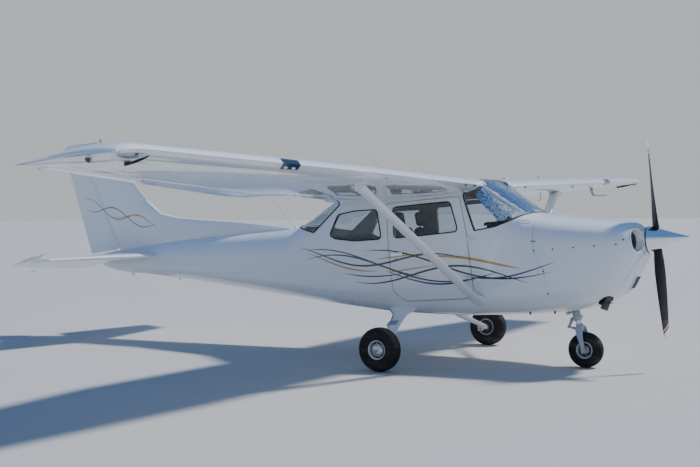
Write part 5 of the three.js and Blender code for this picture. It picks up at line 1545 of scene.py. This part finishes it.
def makeGearFittings():
    for label, side in (("left", 1), ("right", -1)):
        node = "gear_leg_" + label
        spots = []
        for y in (420, 520, 640, 800, 960, 1090, 1150):
            rows = [(330, 2938, -500, 400, 110), (405, 2936, -538, 370, 96), (450, 2932, -560, 290, 80),
                    (505, 2926, -587, 184, 56), (600, 2909, -628, 150, 46), (860, 2852, -742, 126, 40),
                    (1120, 2772, -858, 100, 36), (1172, 2765, -888, 84, 44)]
            high = next(i for i, row in enumerate(rows) if row[0] >= y)
            low = rows[high - 1]
            share = (y - low[0]) / (rows[high][0] - low[0])
            s, w, chord = (low[k] + (rows[high][k] - low[k]) * share for k in (1, 2, 3))
            spots.append(at(s + chord * 0.5 + 2, side * y, w))
        place("brake_line_" + label, swept(spots, 0.0045, sides=3), "airframe", seal)
        spot, normal = onTop(node, 2905, side * 735, 1)
        home = seated(spot, normal)
        tread = [block((0.118, 0.092, 0.006), home, 0.0025, 2)]
        tread += [block((0.004, 0.084, 0.003), home @ Matrix.Translation((-0.048 + i * 0.012, 0, 0.004)), 0.001, 1)
                  for i in range(9)]
        place("leg_step_" + label, joined(tread), "airframe", treadGrey)
        hub = Vector(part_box("tyre_main_" + label)[0]) + Vector(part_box("tyre_main_" + label)[1])
        hub /= 2
        caliper = []
        home = Matrix.Translation(hub + Vector((-0.052, -side * 0.086, 0.0)))
        caliper.append(block((0.062, 0.036, 0.082), home, 0.010, 3))
        caliper.append(block((0.052, 0.012, 0.070), home @ Matrix.Translation((0, side * 0.030, 0)), 0.004, 2))
        for z in (-0.027, 0.027):
            pin = home @ Matrix.Translation((0.008, -side * 0.012, z)) @ Matrix.Rotation(side * math.pi / 2, 4, "X")
            caliper += [disc(0.0165, 0.026, pin, 28, 0.94), disc(0.008, 0.034, pin, 6, 0.95)]
        place("brake_caliper_" + label, joined(caliper), "airframe", steel)


makeGearFittings()
print("gear fittings made")


# Seats

seats = {"voxel": 0.006, "pressure": 4.0, "frames": 20, "cap": 0.024, "front": 262}


def swollen(bm, s):
    data = bpy.data.meshes.new("padStart")
    bm.to_mesh(data)
    bm.free()
    pad = bpy.data.objects.new("padStart", data)
    scene = bpy.context.scene
    scene.collection.objects.link(pad)
    remesh = pad.modifiers.new("voxels", "REMESH")
    remesh.mode = "VOXEL"
    remesh.voxel_size = s["voxel"]
    bpy.context.view_layer.update()
    fine = bpy.data.meshes.new_from_object(pad.evaluated_get(bpy.context.evaluated_depsgraph_get()))
    pad.modifiers.clear()
    pad.data = fine
    start = [vertex.co.copy() for vertex in fine.vertices]
    cloth = pad.modifiers.new("swell", "CLOTH")
    cloth.settings.quality = 4
    cloth.settings.use_pressure = True
    cloth.settings.uniform_pressure_force = s["pressure"]
    cloth.settings.effector_weights.gravity = 0
    for number in range(1, s["frames"] + 1):
        scene.frame_set(number)
    moved = bpy.data.meshes.new_from_object(pad.evaluated_get(bpy.context.evaluated_depsgraph_get()))
    for vertex, home in zip(moved.vertices, start):
        away = vertex.co - home
        if away.length > s["cap"]:
            vertex.co = home + away.normalized() * s["cap"]
    result = bmesh.new()
    result.from_mesh(moved)
    bpy.data.objects.remove(pad)
    scene.frame_set(1)
    return result


def padShape(size, home, radius=0.035, pinch=0.0):
    bm = bmesh.new()
    bmesh.ops.create_cube(bm, size=1, matrix=home @ Matrix.Diagonal((*[value * 0.94 for value in size], 1)))
    bmesh.ops.bevel(bm, geom=bm.edges, offset=radius, affect="EDGES", segments=4, profile=0.5, material=-1)
    return swollen(bm, seats)


def piping(tree, size, home, count=72):
    loop = []
    for i in range(count):
        turn = 2 * math.pi * i / count
        x = math.copysign(abs(math.cos(turn)) ** 0.35, math.cos(turn)) * size[0] * 0.55
        y = math.copysign(abs(math.sin(turn)) ** 0.35, math.sin(turn)) * size[1] * 0.55
        aim = home @ Vector((x, y, 0))
        spot = tree.ray_cast(aim, (home.translation - aim).normalized())[0]
        if spot:
            loop.append(spot)
    return swept(loop, 0.0035, closed=True, sides=2)


seatPads = {
    "base": ((0.50, 0.405, 0.115), (2585, 0, -232), math.radians(1.5), 0.85),
    "back": ((0.60, 0.395, 0.105), (2900, 0, 48), math.radians(-70.5), 0.85),
    "rest": ((0.165, 0.225, 0.075), (3010, 0, 405), math.radians(-82), 0.9),
}
benchPads = {
    "seat": ((0.40, 0.415, 0.110), (3450, 212, -250), math.radians(1.5), 0.8),
    "back": ((0.56, 0.395, 0.095), (3700, 212, 40), math.radians(-76), 0.8),
}


def addPad(name, bm, body, slot, replaced, fill):
    made = place(name, bm, body, seatCloth, slot, None, replaced)
    for face in made.data.polygons:
        face.use_smooth = True
    fine = made.modifiers.new("fine", "SUBSURF")
    fine.levels = fine.render_levels = 1


def makeSeats():
    for part, (size, (station, _, height), tilt, fill) in seatPads.items():
        home = airPlace(station, 0, height) @ Matrix.Rotation(-tilt, 4, "Y")
        shape = padShape(size, home)
        trim = piping(BVHTree.FromBMesh(shape), size, home)
        for label, side in (("left", 1), ("right", -1)):
            shift = Matrix.Translation((0, side * seats["front"] / 1000, 0))
            for kind, source in (("pad", shape), ("piping", trim)):
                copy = source.copy()
                bmesh.ops.transform(copy, matrix=shift, verts=copy.verts)
                name = "seat_" + part + "_" + kind + "_" + label
                if kind == "pad":
                    replaced = ["seat_front_" + label] if part == "base" else ()
                    addPad(name, copy, "airframe", "seat_cloth", replaced, fill)
                else:
                    place(name, copy, "airframe", seatTrim)
        shape.free()
        trim.free()
    for part, (size, (station, y, height), tilt, fill) in benchPads.items():
        home = airPlace(station, 0, height) @ Matrix.Rotation(-tilt, 4, "Y")
        shape = padShape(size, home)
        for label, side in (("left", 1), ("right", -1)):
            copy = shape.copy()
            bmesh.ops.transform(copy, matrix=Matrix.Translation((0, side * y / 1000, 0)), verts=copy.verts)
            replaced = ["seat_rear"] if part == "seat" and side == 1 else ()
            addPad("bench_" + part + "_pad_" + label, copy, "airframe", "seat_cloth", replaced, fill)
        shape.free()
    frames = []
    for side in (-1, 1):
        for y in (-170, 170):
            across = side * seats["front"] + y
            frames.append(block((0.56, 0.034, 0.020), airPlace(2600, across, -459), 0.004, 2))
            legs = [(2400, -452), (2420, -300), (2790, -300), (2810, -452)]
            frames.append(swept([at(s, across, w) for s, w in legs], 0.011, sides=3))
        for y in (-60, 60):
            frames.append(swept([at(2992, side * seats["front"] + y, 300), at(3006, side * seats["front"] + y, 350)],
                                0.006))
    for s in (3300, 3590):
        frames.append(block((0.03, 0.80, 0.155), airPlace(s, 0, -390), 0.006, 2))
    place("seat_frames", joined(frames), "airframe", steel)


makeSeats()
print("seats made")


# Panel and yokes

def makePanel():
    dials, needles, screens = [], [], []
    face = airPlace(1871, 0, 50) @ Matrix.Rotation(-math.pi / 2 - 0.05, 4, "Y")

    def onPanel(y, w):
        return airPlace(1862 + (w + 150) * 0.05, y, w) @ Matrix.Rotation(-math.pi / 2 + 0.05, 4, "Y")

    spots = [(y, w, 0.041) for y in (165, 265, 365) for w in (150, 52)]
    spots += [(y, w, 0.029) for y in (-150, -225) for w in (165, 95, 25)] + [(415, -50, 0.029), (90, -50, 0.029)]
    for y, w, radius in spots:
        home = onPanel(y, w)
        mm = radius * 1000
        normal = home.to_3x3() @ Vector((0, 0, 1))
        dials.append(spun([(-2, mm * 0.86), (5, mm * 0.86), (8, mm * 0.92), (8, mm * 1.08), (-2, mm * 1.14)],
                          home.translation, normal, 40, closed=True))
        dials.append(disc(radius * 0.9, 0.003, home, 32, 1.0))
        for i in range(12):
            tick = home @ Matrix.Rotation(i * math.pi / 6, 4, "Z") @ Matrix.Translation((radius * 0.72, 0, 0.0034))
            needles.append(block((radius * 0.16, 0.0016, 0.0006), tick, 0.0002, 1))
        turn = home @ Matrix.Rotation(radius * 90 + y, 4, "Z")
        needles.append(block((radius * 0.62, 0.0024, 0.001), turn @ Matrix.Translation((radius * 0.28, 0, 0.0042)),
                             0.0003, 1))
    for w, tall in ((190, 34), (140, 44), (88, 44), (34, 44), (-10, 28)):
        home = onPanel(0, w)
        dials.append(block((tall / 1000, 0.160, 0.014), home, 0.003, 2))
        screens.append(block((tall / 1000 * 0.5, 0.085, 0.002), home @ Matrix.Translation((0, 0, 0.0075)), 0.0006, 1))
        for y in (-0.066, 0.066):
            dials.append(disc(0.009, 0.016, home @ Matrix.Translation((0, y, 0.007)), 20, 0.85))
    for y, tint in ((26, 0), (-8, 1), (-42, 2)):
        home = onPanel(y, -96)
        rod = spun([(0, 0), (0, 4), (40, 4), (42, 13), (52, 14), (56, 8), (56, 0)], home.translation,
                   home.to_3x3() @ Vector((0, 0, 1)), 24)
        dials.append(rod)
    place("dials", joined(dials), "airframe", darkPlastic)
    place("dial_marks", joined(needles), "airframe", markWhite, smooth=None)
    place("radio_screens", joined(screens), "airframe", screenGlass)
    for label, side in (("left", 1), ("right", -1)):
        y = side * 270
        wheel = [(-140, 152), (-142, 128), (-140, 96), (-132, 72), (-104, 62), (-50, 60), (50, 60), (104, 62),
                 (132, 72), (140, 96), (142, 128), (140, 152)]
        parts = [swept([at(2010, y + a, b) for a, b in wheel], 0.017, sides=4)]
        parts.append(block((0.044, 0.110, 0.070), airPlace(2008, y, 64), 0.014, 3))
        parts.append(swept([at(1866, y, 60), at(1996, y, 65)], 0.0165, sides=4))
        parts.append(disc(0.036, 0.006, onPanel(y, 60), 32, 0.9))
        place("yoke_" + label, joined(parts), "airframe", darkPlastic)
    pedals = []
    for y in (-330, -210, 210, 330):
        home = airPlace(1640, y, -330) @ Matrix.Rotation(0.5, 4, "Y")
        pedals.append(block((0.016, 0.085, 0.150), home, 0.005, 2))
        pedals.append(swept([at(1640, y, -330), at(1600, y, -456)], 0.009))
    place("rudder_pedals", joined(pedals), "airframe", steel)


glareShield = {"rows": [(1506, 340), (1530, 316), (1556, 292), (1600, 284), (1700, 289), (1800, 293), (1872, 297),
                        (1896, 292), (1906, 278), (1907, 262)], "gap": 14, "widest": 500, "thick": 0.007}


def makeGlareShield(s):
    chains = []
    for station, w in s["rows"]:
        half = min(s["widest"], skinSide(station, w) - s["gap"])
        chains.append([at(station, half * (2 * k / 24 - 1), w - 5 * abs(2 * k / 24 - 1) ** 3) for k in range(25)])
    cover = lofted(chains, closed=False)
    if cover.faces[:][len(cover.faces) // 2].normal.dot(along(0, 0, 1)) < 0:
        bmesh.ops.reverse_faces(cover, faces=cover.faces)
    made = place("glare_shield", cover, "airframe", darkPlastic, smooth=50)
    wall = made.modifiers.new("wall", "SOLIDIFY")
    wall.thickness = s["thick"]


makePanel()
makeGlareShield(glareShield)
print("panel made")


# Foil shade behind the windshield

shade = {"from": 1518, "to": 1990, "inset": 20, "rows": 90, "columns": 170, "stations": 45, "crinkle": 6.0,
         "seed": 11.3, "roll": 10, "foldWide": 26,
         "starboard": [(1518, 345), (1610, 322), (1700, 298), (1767, 305), (1810, 368), (1924, 489), (1990, 590)],
         "port": [(1518, 345), (1700, 330), (1990, 560)]}


def between(rows, value):
    for (a, first), (b, last) in zip(rows, rows[1:]):
        if value <= b:
            return first + (last - first) * max(0.0, (value - a) / (b - a))
    return rows[-1][1]


def shadeSection(station, s):
    top = skinRow(station)[3]
    run = []
    for side, low in ((-1, between(s["starboard"], station)), (1, between(s["port"], station))):
        high = 0.30 * low + 0.70 * top
        part = [Vector((side * skinSide(station, low + (high - low) * i / 20), low + (high - low) * i / 20))
                for i in range(21)]
        reach = abs(part[-1].x)
        part += [Vector((side * reach * (1 - i / 20), skinTop(station, reach * (1 - i / 20)))) for i in range(1, 21)]
        run = part if side < 0 else run + part[-2::-1]
    lengths = [0.0]
    for first, last in zip(run, run[1:]):
        lengths.append(lengths[-1] + (last - first).length)
    spots, k = [], 0
    for i in range(s["columns"] + 1):
        goal = lengths[-1] * i / s["columns"]
        while k < len(run) - 2 and lengths[k + 1] < goal:
            k += 1
        step_ = run[k + 1] - run[k]
        share = (goal - lengths[k]) / max(1e-6, lengths[k + 1] - lengths[k])
        inward = Vector((step_.y, -step_.x)).normalized()
        spots.append((run[k] + step_ * min(1.0, share), inward))
    return spots


def makeShade(s):
    reach = s["to"] - s["from"]
    sections = [shadeSection(s["from"] + reach * i / s["stations"], s) for i in range(s["stations"] + 1)]
    bm = bmesh.new()
    bmesh.ops.create_grid(bm, x_segments=s["rows"], y_segments=s["columns"], size=0.5)
    for vert in bm.verts:
        u, v = vert.co.x + 0.5, vert.co.y + 0.5
        column = min(s["columns"], round(v * s["columns"]))
        guess = sections[10][column][0].x
        trim = 172 * (max(0.0, abs(guess) - 250) / 209) ** 1.3 + 78 * math.exp(-((guess - 60) / 95) ** 2)
        station = s["from"] + trim + (reach - trim) * u
        row = (station - s["from"]) / reach * s["stations"]
        low = min(s["stations"] - 1, int(row))
        share = row - low
        (spotA, inA), (spotB, inB) = sections[low][column], sections[low + 1][column]
        spot, inward = spotA.lerp(spotB, share), inA.lerp(inB, share).normalized()
        aim = Vector((u * 6, v * 9, s["seed"]))
        ridge = noise3.noise(aim * 1.4) + 0.55 * abs(noise3.noise(aim * 3.7)) + 0.45 * abs(noise3.noise(aim * 8.1))
        ridge += 0.22 * abs(noise3.noise(aim * 17.0))
        offset = (spot.x + 286 + (station - 1560) * 0.12) / s["foldWide"]
        depth = s["inset"] + s["crinkle"] * (ridge * 1.6 + 0.2)
        depth += 9 * math.exp(-((offset + 1.35) * 2.2) ** 2) - s["roll"] * math.exp(-offset * offset)
        spot = spot + inward * max(9.0, depth)
        vert.co = at(station, spot.x, spot.y)
    tidyShell(bm)
    area = sum(face.calc_area() for face in bm.faces)
    crown = max(bm.faces, key=lambda face: (toAir @ face.calc_center_median()).z)
    if crown.normal.dot(along(0, 0, 1)) < 0:
        bmesh.ops.reverse_faces(bm, faces=bm.faces)
    made = place("foil_shade", bm, "airframe", foil, smooth=70)


makeShade(shade)
print("shade made")


# Floor, sky and lights

studio = {"floor": (0.47, 0.47, 0.465, 1), "sky": (0.13, 0.30, 0.68, 1), "horizon": (0.66, 0.76, 0.90, 1),
          "backdrop": (0.74, 0.78, 0.82, 1), "ground": (0.33, 0.32, 0.31, 1), "skyPower": 0.72, "sunPower": 4.6,
          "toSun": (0.46, 0.62, 0.95), "sunSize": 0.10}


def makeStudio(s):
    bm = bmesh.new()
    bmesh.ops.create_grid(bm, x_segments=4, y_segments=4, size=400)
    data = bpy.data.meshes.new("floor")
    bm.to_mesh(data)
    bm.free()
    floor = bpy.data.objects.new("floor", data)
    bpy.context.scene.collection.objects.link(floor)
    data.materials.append(makePlain("floorConcrete", s["floor"], 0.75, 0.0, (0.38, 0.38, 0.38, 1), 0.3, 0.0008, 1.2))
    world = bpy.data.worlds.new("studioSky")
    bpy.context.scene.world = world
    world.use_nodes = True
    tree = world.node_tree
    tree.nodes.clear()
    split = addNode(tree, "ShaderNodeSeparateXYZ", {"Vector": addNode(tree, "ShaderNodeTexCoord").outputs["Generated"]})
    colour = mixColour(tree, step(tree, split.outputs["Z"], 0.02, 0.55), s["horizon"], s["sky"])
    colour = mixColour(tree, step(tree, split.outputs["Z"], -0.02, 0.0), s["ground"], colour)
    colour = mixColour(tree, addNode(tree, "ShaderNodeLightPath").outputs["Is Camera Ray"], colour, s["backdrop"])
    back = addNode(tree, "ShaderNodeBackground", {"Color": colour, "Strength": s["skyPower"]})
    addNode(tree, "ShaderNodeOutputWorld", {"Surface": back.outputs["Background"]})
    sun = bpy.data.lights.new("sun", "SUN")
    sun.energy = s["sunPower"]
    sun.angle = s["sunSize"]
    sun.color = (1.0, 0.96, 0.9)
    lamp = bpy.data.objects.new("sun", sun)
    lamp.rotation_euler = Vector(s["toSun"]).to_track_quat("Z", "Y").to_euler()
    bpy.context.scene.collection.objects.link(lamp)


makeStudio(studio)
print("studio made")
